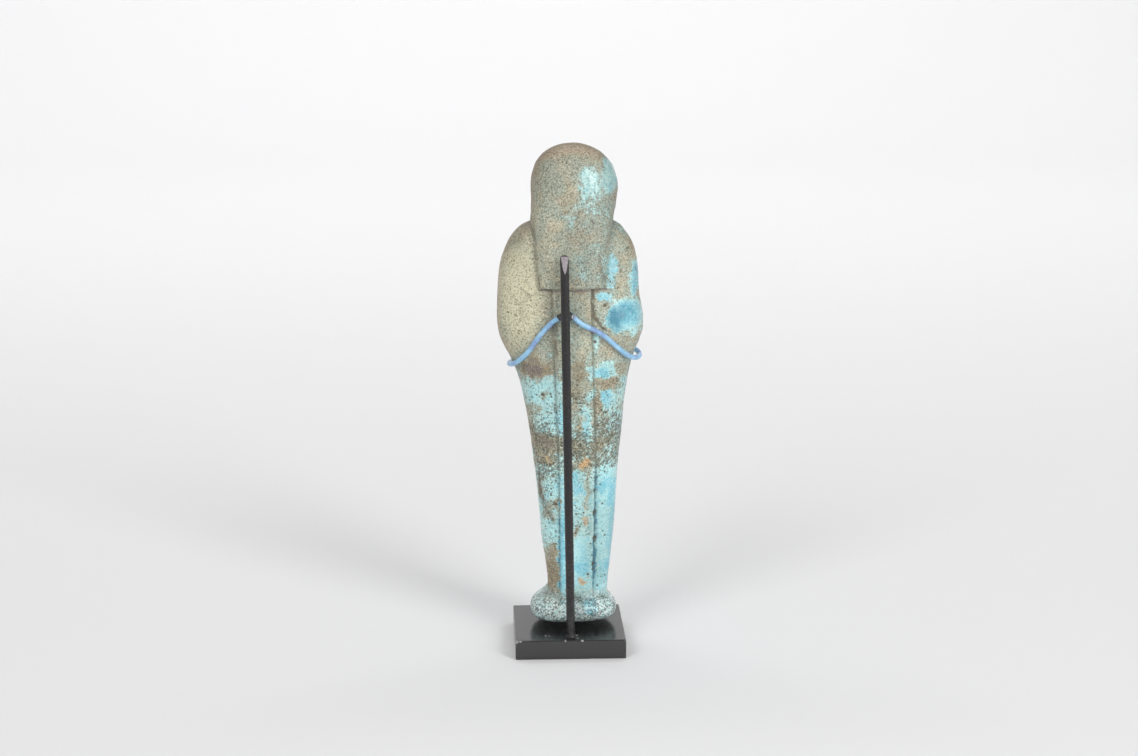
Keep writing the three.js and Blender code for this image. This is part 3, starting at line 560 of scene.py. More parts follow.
    # scored line beside the pillar, and the grooves along both of its edges
    groove = edge_r * (0.40 + 0.9 * leg + 0.35 * step(112, 120, z)) + edge_l * (0.16 + 0.4 * leg)
    d -= (0.20 + 0.14 * leg) * groove
    # the lappet's edges stand a little proud, with a slight dip and a line of painted shade beside them
    lap_w = lappet_half(z) + 0.15
    lap_dip_and_shade = (bell(np.abs(x - lappet_x(z)) - lap_w, 0.62)) * (0.6 + 0.5 * step(0, 4, x)) * rear * step(133.6, 134.6, z) * step(162, 150, z)
    d -= 0.07 * lap_dip_and_shade
    # painted shade: the line beside the lappet is darkened through the hollow and crack colours
    groove = groove + 0.6 * lap_dip_and_shade * (0.1 + 1.3 * n_mid)
    crack_and_shade = np.maximum(crack_and_shade, (0.15 + 0.35 * step(2, 6, x)) * lap_dip_and_shade * np.clip(1.6 * n_fine + 0.2, 0, 1.2))
    # painted shade: dark lines along both edges of the pillar above the legs
    crack_and_shade = np.maximum(crack_and_shade, 0.50 * bell(x - (pillar_x(z) - pillar_half(z) - 0.45), 0.45) * rear * step(133, 130, z) * (1 - leg) * np.clip(1.8 * n_fine, 0, 1.2))
    crack_and_shade = np.maximum(crack_and_shade, 0.40 * bell(x - (pillar_x(z) + pillar_half(z) + 0.45), 0.45) * rear * step(133, 130, z) * (1 - leg) * np.clip(1.8 * n_fine, 0, 1.2))
    # fine lines of the face, the fists and the beard, on the front only
    fr = step(-9.5, -12.5, y)
    eu, ev = (sx - 3.95) / 2.5, (z - 167.9 - 0.06 * (sx - 3.95))
    lid = np.abs(ev) - 1.10 * (1 - np.clip(np.abs(eu), 0, 1.0) ** 2)
    rim = bell(lid, 0.28) * step(1.25, 1.0, np.abs(eu))
    d += 0.22 * rim * fr * step(165.5, 166.2, z) * step(171.2, 170.4, z)
    d += 0.13 * bell(ev + 0.05, 0.30) * step(6.0, 6.4, sx) * step(8.6, 8.0, sx) * fr          # painted line at the temple, in relief
    d -= 0.26 * bell(z - 161.10 + 0.10 * np.cos(sx * 1.6), 0.22) * step(2.6, 1.7, sx) * fr    # between the lips
    d -= 0.24 * bell(np.hypot(sx - 0.95, (z - 164.1) * 1.2), 0.32) * fr                       # nostrils
    d -= 0.10 * bell(sx, 0.35) * bell(z - 163.0, 0.7) * fr
    hand = bell(np.hypot((sx - 5.4) / 3.4, (z - 136.0) / 3.4), 0.95) * step(-19.5, -20.8, y)
    for k in range(3):
        d -= 0.42 * bell(z - (137.4 - 1.45 * k), 0.36) * hand
    bead = step(-16.5, -18, y) * bell(sx, 1.6) * step(143.5, 145, z) * step(156, 154.5, z)
    d -= 0.10 * bead * (0.5 + 0.5 * np.cos(2 * math.pi * (z + 0.35 * sx) / 1.8))
    # the face, the beard and the hands are of a finer, quieter grain
    face = step(1.12, 0.98, np.hypot((x - HX) / 10.0, (z - 164.5) / 12.5)) * step(-8.5, -10.5, y) * step(150, 153, z)
    calm = np.clip(0.30 * (1 - rear) + face + step(1.2, 0.9, np.hypot((sx - 5.6) / 4.2, (z - 136.8) / 3.8)) * step(-18, -19.5, y)
                   + bell(sx, 2.2) * step(-15, -16.5, y) * step(141, 142.5, z) * step(158, 156, z), 0, 1)
    # soft chips on the plinth's rim and a little wear on the lappet's corners
    chip = np.clip(fbm(P, 3.4, 2, 71) - 0.62, 0, 1) * 4
    d -= 0.55 * chip * step(19.5, 17.0, z) * step(9.6, 11.0, z)
    d -= 0.25 * np.clip(fbm(P, 2.6, 2, 83) - 0.6, 0, 1) * 4 * bump_out
    level = 0.40 - 0.26 * step(24.3, 25.8, np.abs(x)) - 0.26 * step(180.0, 183.4, z)
    d = np.clip(d + level, -1.1, 0.42)
    # nothing reaches past the CAD solid's own extremes
    flat = step(10.4, 9.75, z)
    d = d * (1 - 0.75 * flat)
    Q = P + n * d[:, None]
    lo, hi = np.array([-26.74, -23.2, 9.32]), np.array([25.68, 19.9, 184.08])
    Q = np.clip(Q, lo, hi)

    # ---- mesh
    top = Q.reshape(nr, nc, 3)[-1].mean(0)
    bot = Q.reshape(nr, nc, 3)[0].mean(0)
    V = np.vstack([Q, bot[None], top[None]])
    i = np.arange(nr - 1)[:, None] * nc
    j = np.arange(nc)[None, :]
    j2 = (j + 1) % nc
    quads = np.stack([i + j, i + nc + j, i + nc + j2, i + j2], -1).reshape(-1, 4)
    jb = np.arange(nc)
    b, t = nr * nc, nr * nc + 1
    tris_b = np.stack([np.full(nc, b), jb, (jb + 1) % nc], 1)
    tris_t = np.stack([np.full(nc, t), (nr - 1) * nc + (jb + 1) % nc, (nr - 1) * nc + jb], 1)
    faces = [tuple(f) for f in quads.tolist()] + [tuple(f) for f in tris_b.tolist()] + [tuple(f) for f in tris_t.tolist()]
    ext = lambda a: np.concatenate([a, [a[:nc].mean(), a[-nc:].mean()]])
    maps = {
        "wear_a": (glaze, brown, deep),
        "wear_and_shade_b": (cream, orange, dark),
        "wear_and_shade_c": (gloss, np.clip(crack_and_shade, 0, 1), speck),
        # first channel: hollows and grooves, darkened in the material with dirt and painted shade
        "wear_and_shade_d": (np.clip(cav + groove * (0.55 - 0.35 * leg), 0, 1), plinth, pit),
        "wear_and_shade_e": (warm, blue, tone),
        # second channel: hollows on the front, darkened in the material as painted shade
        "wear_and_shade_f": (calm, calm * cav, calm),
    }
    ob = make_mesh("ushabti_surface", V * MM, faces)
    for name, chans in maps.items():
        a = ob.data.color_attributes.new(name, "FLOAT_COLOR", "POINT")
        c = np.ones((len(V), 4), np.float32)
        for k in range(3):
            c[:, k] = ext(chans[k])
        a.data.foreach_set("color", c.ravel())
    return ob


def make_mesh(name, V, faces, smooth=True):
    me = bpy.data.meshes.new(name)
    me.from_pydata([tuple(v) for v in np.asarray(V).tolist()], [], faces)
    me.update()
    me.validate()
    if smooth:
        me.polygons.foreach_set("use_smooth", [True] * len(me.polygons))
    ob = bpy.data.objects.new(name, me)
    bpy.context.scene.collection.objects.link(ob)
    return ob


def oriented(ob):
    """Makes sure that the faces look outward."""
    import bmesh
    bm = bmesh.new()
    bm.from_mesh(ob.data)
    if bm.calc_volume(signed=True) < 0:
        bmesh.ops.reverse_faces(bm, faces=bm.faces)
        bm.to_mesh(ob.data)
    bm.free()
    return ob


# =====================================================================  materials
def rgb(r, g, b):
    return (r, g, b, 1.0)


class Nodes:
    """A short way to write node trees."""
    def __init__(self, name):
        self.mat = bpy.data.materials.new(name)
        self.mat.use_nodes = True
        self.t = self.mat.node_tree
        self.t.nodes.clear()
        self.out = self.t.nodes.new("ShaderNodeOutputMaterial")
        self.bsdf = self.t.nodes.new("ShaderNodeBsdfPrincipled")
        self.t.links.new(self.bsdf.outputs[0], self.out.inputs[0])
        self.co = self.t.nodes.new("ShaderNodeTexCoord").outputs["Object"]

    def link(self, a, b):
        self.t.links.new(a, b)

    def put(self, sock, v):
        if hasattr(v, "is_output"):
            self.t.links.new(v, sock)
        else:
            sock.default_value = v

    def noise(self, size_mm, detail=3.0, rough=0.55, co=None, distortion=0.0):
        n = self.t.nodes.new("ShaderNodeTexNoise")
        n.inputs["Scale"].default_value = 1000.0 / size_mm
        n.inputs["Detail"].default_value = detail
        n.inputs["Roughness"].default_value = rough
        n.inputs["Distortion"].default_value = distortion
        self.link(co or self.co, n.inputs["Vector"])
        return n.outputs["Fac"]

    def voronoi(self, size_mm, feature="F1", co=None, randomness=1.0):
        n = self.t.nodes.new("ShaderNodeTexVoronoi")
        n.feature = feature
        n.inputs["Scale"].default_value = 1000.0 / size_mm
        n.inputs["Randomness"].default_value = randomness
        self.link(co or self.co, n.inputs["Vector"])
        return n

    def math(self, op, a, b=0.0, c=None, clamp=False):
        n = self.t.nodes.new("ShaderNodeMath")
        n.operation = op
        n.use_clamp = clamp
        self.put(n.inputs[0], a)
        self.put(n.inputs[1], b)
        if c is not None:
            self.put(n.inputs[2], c)
        return n.outputs[0]

    def ramp(self, v, lo, hi, a=0.0, b=1.0, smooth=True):
        n = self.t.nodes.new("ShaderNodeMapRange")
        n.interpolation_type = "SMOOTHSTEP" if smooth else "LINEAR"
        n.clamp = True
        self.put(n.inputs["Value"], v)
        n.inputs["From Min"].default_value = lo
        n.inputs["From Max"].default_value = hi
        n.inputs["To Min"].default_value = a
        n.inputs["To Max"].default_value = b
        return n.outputs["Result"]

    def mix(self, fac, a, b, blend="MIX"):
        n = self.t.nodes.new("ShaderNodeMix")
        n.data_type = "RGBA"
        n.blend_type = blend
        self.put(n.inputs[0], fac)
        self.put(n.inputs[6], a)
        self.put(n.inputs[7], b)
        return n.outputs[2]

    def attr(self, name):
        n = self.t.nodes.new("ShaderNodeAttribute")
        n.attribute_name = name
        s = self.t.nodes.new("ShaderNodeSeparateColor")
        self.link(n.outputs["Color"], s.inputs[0])
        return s.outputs[0], s.outputs[1], s.outputs[2]

    def bump(self, height, strength, dist_mm, normal=None):
        n = self.t.nodes.new("ShaderNodeBump")
        n.inputs["Strength"].default_value = strength
        n.inputs["Distance"].default_value = dist_mm * MM
        self.link(height, n.inputs["Height"])
        if normal is not None:
            self.link(normal, n.inputs["Normal"])
        return n.outputs[0]


def tint(r, g, b, k=1.0):
    """A colour as it looks under the studio light (0-255), as an albedo."""
    out = []
    for v in (r, g, b):
        v = v / 255.0
        lin = v / 12.92 if v <= 0.04045 else ((v + 0.055) / 1.055) ** 2.4
        out.append(min(0.9, max(0.004, (lin - 0.022) / 0.82 * k)))
    return (out[0], out[1], out[2], 1.0)


def faience_material():
    m = Nodes("faience")
    glaze_a, brown_a, deep_a = m.attr("wear_a")
    cream_a, orange_a, dark_stain_and_shadow_a = m.attr("wear_and_shade_b")
    gloss_a, crack_and_shade_a, speck_a = m.attr("wear_and_shade_c")
    cav_a, plinth_a, pit_a = m.attr("wear_and_shade_d")
    warm_a, blue_a, tone_a = m.attr("wear_and_shade_e")
    calm_a, face_hollow_shade_a, _ = m.attr("wear_and_shade_f")
    quiet = m.math("SUBTRACT", 1.0, m.math("MULTIPLY", calm_a, 0.72))
    n5 = m.noise(5.5, 3, 0.55)
    n3 = m.noise(3.0, 4, 0.6)
    n1 = m.noise(1.25, 4, 0.68)
    n07 = m.noise(0.68, 3, 0.7)
    n05 = m.noise(0.46, 3, 0.65)
    centred = lambda v, k: m.math("MULTIPLY", m.math("SUBTRACT", v, 0.5), k)

    def add(*v):
        out = v[0]
        for q in v[1:]:
            out = m.math("ADD", out, q)
        return out
    # --- the bare, sandy body: greenish grey to khaki, warm near the edges, cream on one shoulder
    body = m.mix(m.ramp(n5, 0.38, 0.62), tint(164, 158, 136), tint(153, 159, 144))
    body = m.mix(m.ramp(add(warm_a, centred(n3, 0.9)), 0.25, 0.95), body, tint(168, 151, 128))
    body = m.mix(m.ramp(add(cream_a, centred(n3, 0.4)), 0.10, 0.85), body, tint(196, 193, 165))
    # --- where the glaze is worn thin, a pale green wash stays in the grain
    wash = m.ramp(add(glaze_a, centred(n1, 1.0), centred(n3, 0.5)), 0.10, 0.72)
    body = m.mix(m.math("MULTIPLY", wash, 0.78), body, tint(150, 176, 169))
    # --- surviving glaze
    g = add(glaze_a, centred(n3, 0.50), centred(n1, 1.05), centred(n05, 0.55))
    gm = m.ramp(g, 0.53, 0.72)
    turq = m.mix(m.ramp(n1, 0.32, 0.66), tint(146, 196, 198), tint(188, 222, 216))
    strong = m.ramp(add(glaze_a, centred(n3, 0.8)), 0.85, 1.30)
    turq = m.mix(m.math("MULTIPLY", strong, 0.75), turq, tint(168, 222, 226))
    turq = m.mix(m.math("MULTIPLY", m.ramp(n3, 0.54, 0.72), 0.75), turq, tint(132, 196, 207))
    turq = m.mix(m.ramp(add(blue_a, centred(n1, 0.5)), 0.20, 0.95), turq, tint(122, 196, 212))
    deep = m.ramp(add(deep_a, centred(n1, 1.4), centred(n05, 1.0), centred(n3, 0.9)), 0.30, 1.15)
    turq = m.mix(deep, turq, tint(50, 128, 154))
    col = m.mix(m.math("MULTIPLY", gm, 0.93), body, turq)
    # --- grain: pale quartz and dark interstices
    light = m.math("MULTIPLY", m.ramp(add(n05, centred(n07, 0.6)), 0.53, 0.66), m.math("SUBTRACT", m.ramp(gm, 0, 1, 0.56, 0.42), m.math("MULTIPLY", deep, 0.30), clamp=True))
    light = m.math("MULTIPLY", light, quiet)
    col = m.mix(light, col, m.mix(gm, tint(218, 214, 194), tint(226, 244, 240)))
    shade = m.math("MULTIPLY", m.ramp(add(n07, centred(n05, 0.5)), 0.50, 0.35), m.ramp(gm, 0, 1, 0.76, 0.30))
    shade = m.math("MULTIPLY", shade, quiet)
    col = m.mix(shade, col, m.mix(gm, tint(96, 90, 74), tint(88, 122, 124)))
    # --- the dark network of burst bubbles, dense where the wear map says so
    net = m.ramp(add(m.noise(0.88, 4, 0.78), m.math("MULTIPLY", speck_a, 0.235)), 0.655, 0.735)
    net = m.math("MULTIPLY", net, quiet)
    col = m.mix(m.math("MULTIPLY", net, 0.86), col, m.mix(m.ramp(n07, 0.4, 0.6), tint(74, 74, 64), tint(112, 104, 84)))
    v = m.voronoi(1.3)
    vr = m.t.nodes.new("ShaderNodeSeparateColor")
    m.link(v.outputs["Color"], vr.inputs[0])
    size = m.math("MULTIPLY", m.ramp(m.math("SUBTRACT", add(m.math("MULTIPLY", speck_a, 0.60), 0.10), vr.outputs[0]), 0.0, 0.4), 0.32)
    dot = m.math("MULTIPLY", m.ramp(m.math("SUBTRACT", v.outputs["Distance"], size), 0.06, -0.08), m.ramp(size, 0.03, 0.09))
    dot = m.math("MULTIPLY", dot, quiet)
    col = m.mix(m.math("MULTIPLY", dot, 0.85), col, tint(72, 66, 52))
    # --- brown burial deposit
    b = add(brown_a, centred(n1, 1.3), centred(n05, 0.9))
    bm = m.ramp(b, 0.47, 0.92)
    brown = m.mix(m.ramp(n1, 0.35, 0.65), tint(104, 95, 80), tint(150, 138, 114))
    brown = m.mix(m.ramp(n05, 0.50, 0.64), brown, tint(188, 182, 160))
    brown = m.mix(m.ramp(n07, 0.44, 0.30), brown, tint(78, 72, 62))
    col = m.mix(m.math("MULTIPLY", bm, 0.80), col, brown)
    # dark stains, with the painted shadow line under the lappet
    dk = m.ramp(add(dark_stain_and_shadow_a, centred(n1, 0.9)), 0.35, 0.9)
    col = m.mix(m.math("MULTIPLY", dk, 0.80), col, m.mix(m.ramp(n05, 0.42, 0.62), tint(104, 93, 91), tint(146, 140, 134)))
    oj = m.ramp(add(orange_a, centred(n05, 1.7), centred(n1, 1.2)), 0.48, 0.95)
    col = m.mix(m.math("MULTIPLY", oj, 0.80), col, m.mix(m.ramp(n05, 0.40, 0.60), tint(160, 104, 74), tint(212, 182, 132)))
    # --- plinth: pale glaze, black in its crazing
    pnet = m.ramp(add(m.noise(0.74, 4, 0.75), m.math("MULTIPLY", m.noise(4.5, 2, 0.5), 0.30)), 0.632, 0.685)
    pal = m.mix(m.ramp(n1, 0.35, 0.7), tint(174, 205, 201), tint(222, 241, 236))
    pal = m.mix(m.math("MULTIPLY", m.ramp(add(blue_a, centred(n1, 0.8)), 0.45, 1.0), 0.85), pal, tint(128, 204, 220))
    pal = m.mix(m.math("MULTIPLY", pnet, 0.88), pal, m.mix(m.ramp(n05, 0.4, 0.6), tint(40, 48, 48), tint(84, 92, 88)))
    col = m.mix(m.math("MULTIPLY", plinth_a, 0.90), col, pal)
    # --- cracks, pits, and the hollows and grooves darkened: dirt together with painted shade
    # cracks, and the painted shade lines beside the lappet and the pillar
    col = m.mix(m.math("MULTIPLY", crack_and_shade_a, 0.85), col, tint(84, 76, 62))
    col = m.mix(m.ramp(pit_a, 0.25, 0.75, 0.0, 0.92), col, tint(86, 70, 52))
    hollow_dirt_and_shade = m.math("MULTIPLY", m.math("MULTIPLY", cav_a, m.ramp(n1, 0.3, 0.6)), 0.55)
    col = m.mix(hollow_dirt_and_shade, col, tint(92, 96, 86))
    # painted shade: the hollows on the front are darkened, most of all on the face, beard and hands
    col = m.mix(m.math("MULTIPLY", face_hollow_shade_a, 0.60), col, tint(88, 84, 70))
    # the tone map sets the value, its painted side shade included
    hsv = m.t.nodes.new("ShaderNodeHueSaturation")
    m.link(m.math("ADD", m.math("MULTIPLY", tone_a, 0.55), 0.725), hsv.inputs["Value"])
    m.link(col, hsv.inputs["Color"])
    m.link(hsv.outputs["Color"], m.bsdf.inputs["Base Color"])
    # --- gloss
    ro = m.ramp(gm, 0, 1, 0.58, 0.31)
    ro = m.math("SUBTRACT", ro, m.math("MULTIPLY", gloss_a, 0.21))
    ro = m.math("ADD", ro, m.math("MULTIPLY", bm, 0.2))
    ro = m.math("ADD", ro, centred(n05, 0.3))
    ro = m.math("MAXIMUM", m.math("MINIMUM", ro, 0.85), 0.14)
    m.link(ro, m.bsdf.inputs["Roughness"])
    m.bsdf.inputs["IOR"].default_value = 1.68
    # --- relief finer than the mesh
    h = add(m.math("MULTIPLY", n05, 0.55), m.math("MULTIPLY", n07, 0.55))
    h = m.math("SUBTRACT", h, m.math("MULTIPLY", dot, 0.6))
    h = m.math("SUBTRACT", h, m.math("MULTIPLY", net, 0.45))
    h = m.math("SUBTRACT", h, m.math("MULTIPLY", crack_and_shade_a, 0.6))
    h = m.math("ADD", h, m.math("MULTIPLY", gm, 0.35))
    m.link(m.bump(h, 0.65, 0.18), m.bsdf.inputs["Normal"])
    return m.mat


def black_material(name, base=(0.030, 0.028, 0.029), rough=(0.16, 0.26), wear=None, ior=1.5):
    m = Nodes(name)
    n5 = m.noise(5.0, 4, 0.6)
    n05 = m.noise(0.5, 3, 0.6)
    fine = m.noise(0.25, 2, 0.5)
    col = m.mix(m.ramp(n5, 0.35, 0.7), rgb(*base), rgb(*(min(1, c * 1.35) for c in base)))
    dust = m.ramp(m.noise(0.6, 3, 0.7), 0.70, 0.78)
    col = m.mix(m.math("MULTIPLY", dust, 0.35), col, rgb(0.20, 0.19, 0.18))
    ro = m.ramp(n05, 0.3, 0.7, rough[0], rough[1])
    if wear is not None:
        col, ro = wear(m, col, ro, n05)
    m.link(col, m.bsdf.inputs["Base Color"])
    m.link(ro, m.bsdf.inputs["Roughness"])
    m.bsdf.inputs["IOR"].default_value = ior
    m.link(m.bump(m.math("ADD", fine, m.math("MULTIPLY", n05, 0.6)), 0.10, 0.05), m.bsdf.inputs["Normal"])
    return m.mat


def near(m, p, r_mm, soft=0.5):
    """1 close to the point p (mm), falling to 0 at about r_mm."""
    s = m.t.nodes.new("ShaderNodeVectorMath")
    s.operation = "DISTANCE"
    m.link(m.co, s.inputs[0])
    s.inputs[1].default_value = (p[0] * MM, p[1] * MM, p[2] * MM)
    return m.ramp(s.outputs["Value"], r_mm * MM, r_mm * MM * (1 - soft))


def most(m, parts):
    out = parts[0]
    for p in parts[1:]:
        out = m.math("MAXIMUM", out, p)
    return out


def plate_wear_and_glints(m, col, ro, n05):
    # rubbed corner, light flecks along the camera-side top edge and on the top (paint chips with painted glints),
    # lighter sharp edges (rubbed paint with a painted bevel highlight), fine scratches on the top
    nick_and_glint = most(m, [near(m, p, r) for p, r in [((19.7, 19.6, 7.0), 1.1), ((18.2, 19.9, 7.15), 0.7), ((2.0, 19.95, 7.15), 0.55),
                                               ((-4.1, 19.95, 7.15), 0.75), ((-2.6, 17.6, 7.2), 0.5), ((9.0, 14.6, 7.2), 0.55),
                                               ((7.6, 14.9, 7.2), 0.42), ((-2.2, 14.6, 7.2), 0.75)]])
    nick_and_glint = m.math("MULTIPLY", nick_and_glint, m.ramp(m.noise(0.5, 3, 0.6), 0.33, 0.50))
    col = m.mix(m.math("MULTIPLY", nick_and_glint, 0.75), col, rgb(0.42, 0.40, 0.38))
    g = m.t.nodes.new("ShaderNodeNewGeometry")
    # painted highlight: the sharp edges are made lighter, rubbed paint together with the bevel's highlight
    edge = m.math("MULTIPLY", m.ramp(g.outputs["Pointiness"], 0.515, 0.56), m.ramp(m.noise(1.3, 4, 0.7), 0.50, 0.66))
    col = m.mix(m.math("MULTIPLY", edge, 0.30), col, rgb(0.26, 0.25, 0.25))
    mp = m.t.nodes.new("ShaderNodeMapping")
    mp.inputs["Rotation"].default_value = (0, 0, math.radians(28))
    mp.inputs["Scale"].default_value = (1.0, 0.06, 1.0)
    m.link(m.co, mp.inputs["Vector"])
    scratch = m.ramp(m.noise(0.35, 2, 0.5, co=mp.outputs[0]), 0.665, 0.72)
    zone = near(m, (3.5, 16.5, 7.2), 9.0, 0.7)
    col = m.mix(m.math("MULTIPLY", m.math("MULTIPLY", scratch, zone), 0.25), col, rgb(0.30, 0.29, 0.28))
    ro = m.math("ADD", ro, m.math("MULTIPLY", nick_and_glint, 0.3))
    return col, ro


ROD_X0, ROD_Y0, ROD_R, PLATE_T, GAP = -0.16, 15.4, 3.15 / 2, 7.2, 0.3
ROD_TAN = math.tan(math.radians(1.02))
rod_x = lambda z: ROD_X0 + ROD_TAN * (z - PLATE_T)


def rod_wear_and_reflection(m, col, ro, n05):
    # the ground facet at the tip lost its paint; low down the shaft is painted a little greyer, a painted reflection of
    # the pale floor
    s = m.t.nodes.new("ShaderNodeSeparateXYZ")
    m.link(m.co, s.inputs[0])
    # height above the grinding plane, in mm
    plane = m.math("ADD", m.math("MULTIPLY", m.math("SUBTRACT", s.outputs[1], (ROD_Y0 + ROD_R) * MM), 2.5),
                   m.math("SUBTRACT", s.outputs[2], 141.0 * MM))
    facet = m.ramp(m.math("ABSOLUTE", plane), 0.55 * MM, 0.30 * MM)
    up = m.math("MAXIMUM", m.math("MULTIPLY", m.math("SUBTRACT", s.outputs[2], 141.0 * MM), 1000.0), 0.0)
    width = m.math("ADD", m.math("MULTIPLY", m.math("POWER", m.math("DIVIDE", up, 5.0), 0.62), 1.16), 0.12)
    off = m.math("SUBTRACT", m.math("MULTIPLY", s.outputs[0], 1000.0), rod_x(144.0) - 0.08)
    facet = m.math("MULTIPLY", facet, m.ramp(m.math("SUBTRACT", m.math("ABSOLUTE", off), width), 0.10, -0.08))
    facet = m.math("MULTIPLY", facet, m.ramp(s.outputs[2], 146.75 * MM, 146.35 * MM))
    grey = m.mix(m.ramp(m.noise(0.7, 3, 0.6), 0.3, 0.7), rgb(0.25, 0.215, 0.235), rgb(0.37, 0.33, 0.35))
    col = m.mix(facet, col, grey)
    ro = m.math("ADD", ro, m.math("MULTIPLY", facet, 0.12))
    # painted reflection: the shaft is made greyer towards the bottom, where it mirrors the pale floor
    paler_mask = m.math("MULTIPLY", m.ramp(s.outputs[2], 60 * MM, 15 * MM), m.ramp(m.noise(2.0, 3, 0.6), 0.35, 0.65))
    col = m.mix(m.math("MULTIPLY", paler_mask, 0.5), col, rgb(0.045, 0.042, 0.045))
    return col, ro


def blue_material():
    m = Nodes("blue_paint")
    n2 = m.noise(2.2, 4, 0.6)
    n05 = m.noise(0.5, 3, 0.65)
    col = m.mix(m.ramp(n2, 0.35, 0.65), rgb(0.250, 0.500, 0.730), rgb(0.370, 0.620, 0.840))
    col = m.mix(m.ramp(m.noise(5.0, 2, 0.5), 0.52, 0.68), col, rgb(0.230, 0.350, 0.600))
    paler_mask = m.ramp(n05, 0.60, 0.70)
    col = m.mix(m.math("MULTIPLY", paler_mask, 0.55), col, rgb(0.42, 0.58, 0.82))
    scuff = m.math("MULTIPLY", m.ramp(m.noise(0.8, 4, 0.7), 0.61, 0.68), m.ramp(m.noise(4.0, 2, 0.5), 0.45, 0.6))
    col = m.mix(m.math("MULTIPLY", scuff, 0.75), col, rgb(0.085, 0.095, 0.130))
    m.link(col, m.bsdf.inputs["Base Color"])
    m.link(m.ramp(n05, 0.3, 0.7, 0.22, 0.38), m.bsdf.inputs["Roughness"])
    m.link(m.bump(m.math("ADD", n2, m.math("MULTIPLY", n05, 0.5)), 0.35, 0.10), m.bsdf.inputs["Normal"])
    return m.mat


def braze_material():
    m = Nodes("braze_black")
    n = m.noise(0.8, 3, 0.6)
    col = m.mix(m.ramp(n, 0.40, 0.62), rgb(0.018, 0.018, 0.020), rgb(0.050, 0.050, 0.056))
    # bare solder near the wire, with a painted glint: the spot is given a near-white colour
    bare = m.math("MULTIPLY", near(m, (-0.75, 13.4, 124.9), 1.0, 0.6), m.ramp(m.noise(0.6, 3, 0.6), 0.36, 0.52))
    col = m.mix(bare, col, rgb(0.62, 0.66, 0.74))
    m.link(col, m.bsdf.inputs["Base Color"])
    m.link(m.ramp(n, 0.3, 0.7, 0.12, 0.30), m.bsdf.inputs["Roughness"])
    m.link(m.bump(n, 0.5, 0.15), m.bsdf.inputs["Normal"])
    return m.mat


# =====================================================================  the mount's pieces
def tube(name, path, radius_at, sides):
    """A round bar along a dense path (mm), with domed ends."""
    P = np.asarray(path, float)
    T = np.gradient(P, axis=0)
    T /= np.linalg.norm(T, axis=1)[:, None]
    up = np.array([0.0, 0.0, 1.0])
    u = np.cross(T[0], up)
    u /= np.linalg.norm(u)
    U = [u]
    for k in range(1, len(P)):
        v = U[-1] - T[k] * (U[-1] @ T[k])
        U.append(v / np.linalg.norm(v))
    U = np.array(U)
    W = np.cross(T, U)
    s = np.concatenate([[0], np.cumsum(np.linalg.norm(np.diff(P, axis=0), axis=1))])
    rings, r_all = [], radius_at(s)
    ang = np.arange(sides) * 2 * math.pi / sides
    circle = np.cos(ang)[:, None], np.sin(ang)[:, None]
    dome = 5
    for e in range(dome, 0, -1):
        a = e / dome * math.pi / 2 * 0.97
        rings.append(P[0] - T[0] * math.sin(a) * r_all[0] + (U[0] * circle[0] + W[0] * circle[1]) * r_all[0] * math.cos(a))
    for k in range(len(P)):
        rr = r_all[k] * (1 + 0.025 * np.sin(3 * ang + 0.9 * s[k])[:, None] * 0.5)
        rings.append(P[k] + (U[k] * circle[0] + W[k] * circle[1]) * rr)
    for e in range(1, dome + 1):
        a = e / dome * math.pi / 2 * 0.97
        rings.append(P[-1] + T[-1] * math.sin(a) * r_all[-1] + (U[-1] * circle[0] + W[-1] * circle[1]) * r_all[-1] * math.cos(a))
    V = np.vstack(rings + [[P[0] - T[0] * r_all[0]], [P[-1] + T[-1] * r_all[-1]]])
    n, m = len(rings), sides
    f = []
    for i in range(n - 1):
        for j in range(m):
            k = (j + 1) % m
            f.append((i * m + j, i * m + k, (i + 1) * m + k, (i + 1) * m + j))
    a, b = n * m, n * m + 1
    for j in range(m):
        k = (j + 1) % m
        f.append((a, k, j))
        f.append((b, (n - 1) * m + j, (n - 1) * m + k))
    return oriented(make_mesh(name, V * MM, f))


def smooth_path(points, per=14):
    """Centripetal Catmull-Rom through the bend points, as the CAD wire has it."""
    p = [np.array(q, float) for q in points]
    p = [2 * p[0] - p[1]] + p + [2 * p[-1] - p[-2]]
    out = []
    for i in range(1, len(p) - 2):
        a, b, c, d = p[i - 1], p[i], p[i + 1], p[i + 2]
        t0 = 0.0
        t1 = t0 + np.linalg.norm(b - a) ** 0.5
        t2 = t1 + np.linalg.norm(c - b) ** 0.5
        t3 = t2 + np.linalg.norm(d - c) ** 0.5
        for t in np.linspace(t1, t2, per, endpoint=False):
            A1 = (t1 - t) / (t1 - t0) * a + (t - t0) / (t1 - t0) * b
            A2 = (t2 - t) / (t2 - t1) * b + (t - t1) / (t2 - t1) * c
            A3 = (t3 - t) / (t3 - t2) * c + (t - t2) / (t3 - t2) * d
            B1 = (t2 - t) / (t2 - t0) * A1 + (t - t0) / (t2 - t0) * A2
            B2 = (t3 - t) / (t3 - t1) * A2 + (t - t1) / (t3 - t1) * A3
            out.append((t2 - t) / (t2 - t1) * B1 + (t - t1) / (t2 - t1) * B2)
    out.append(p[-2])
    return np.array(out)


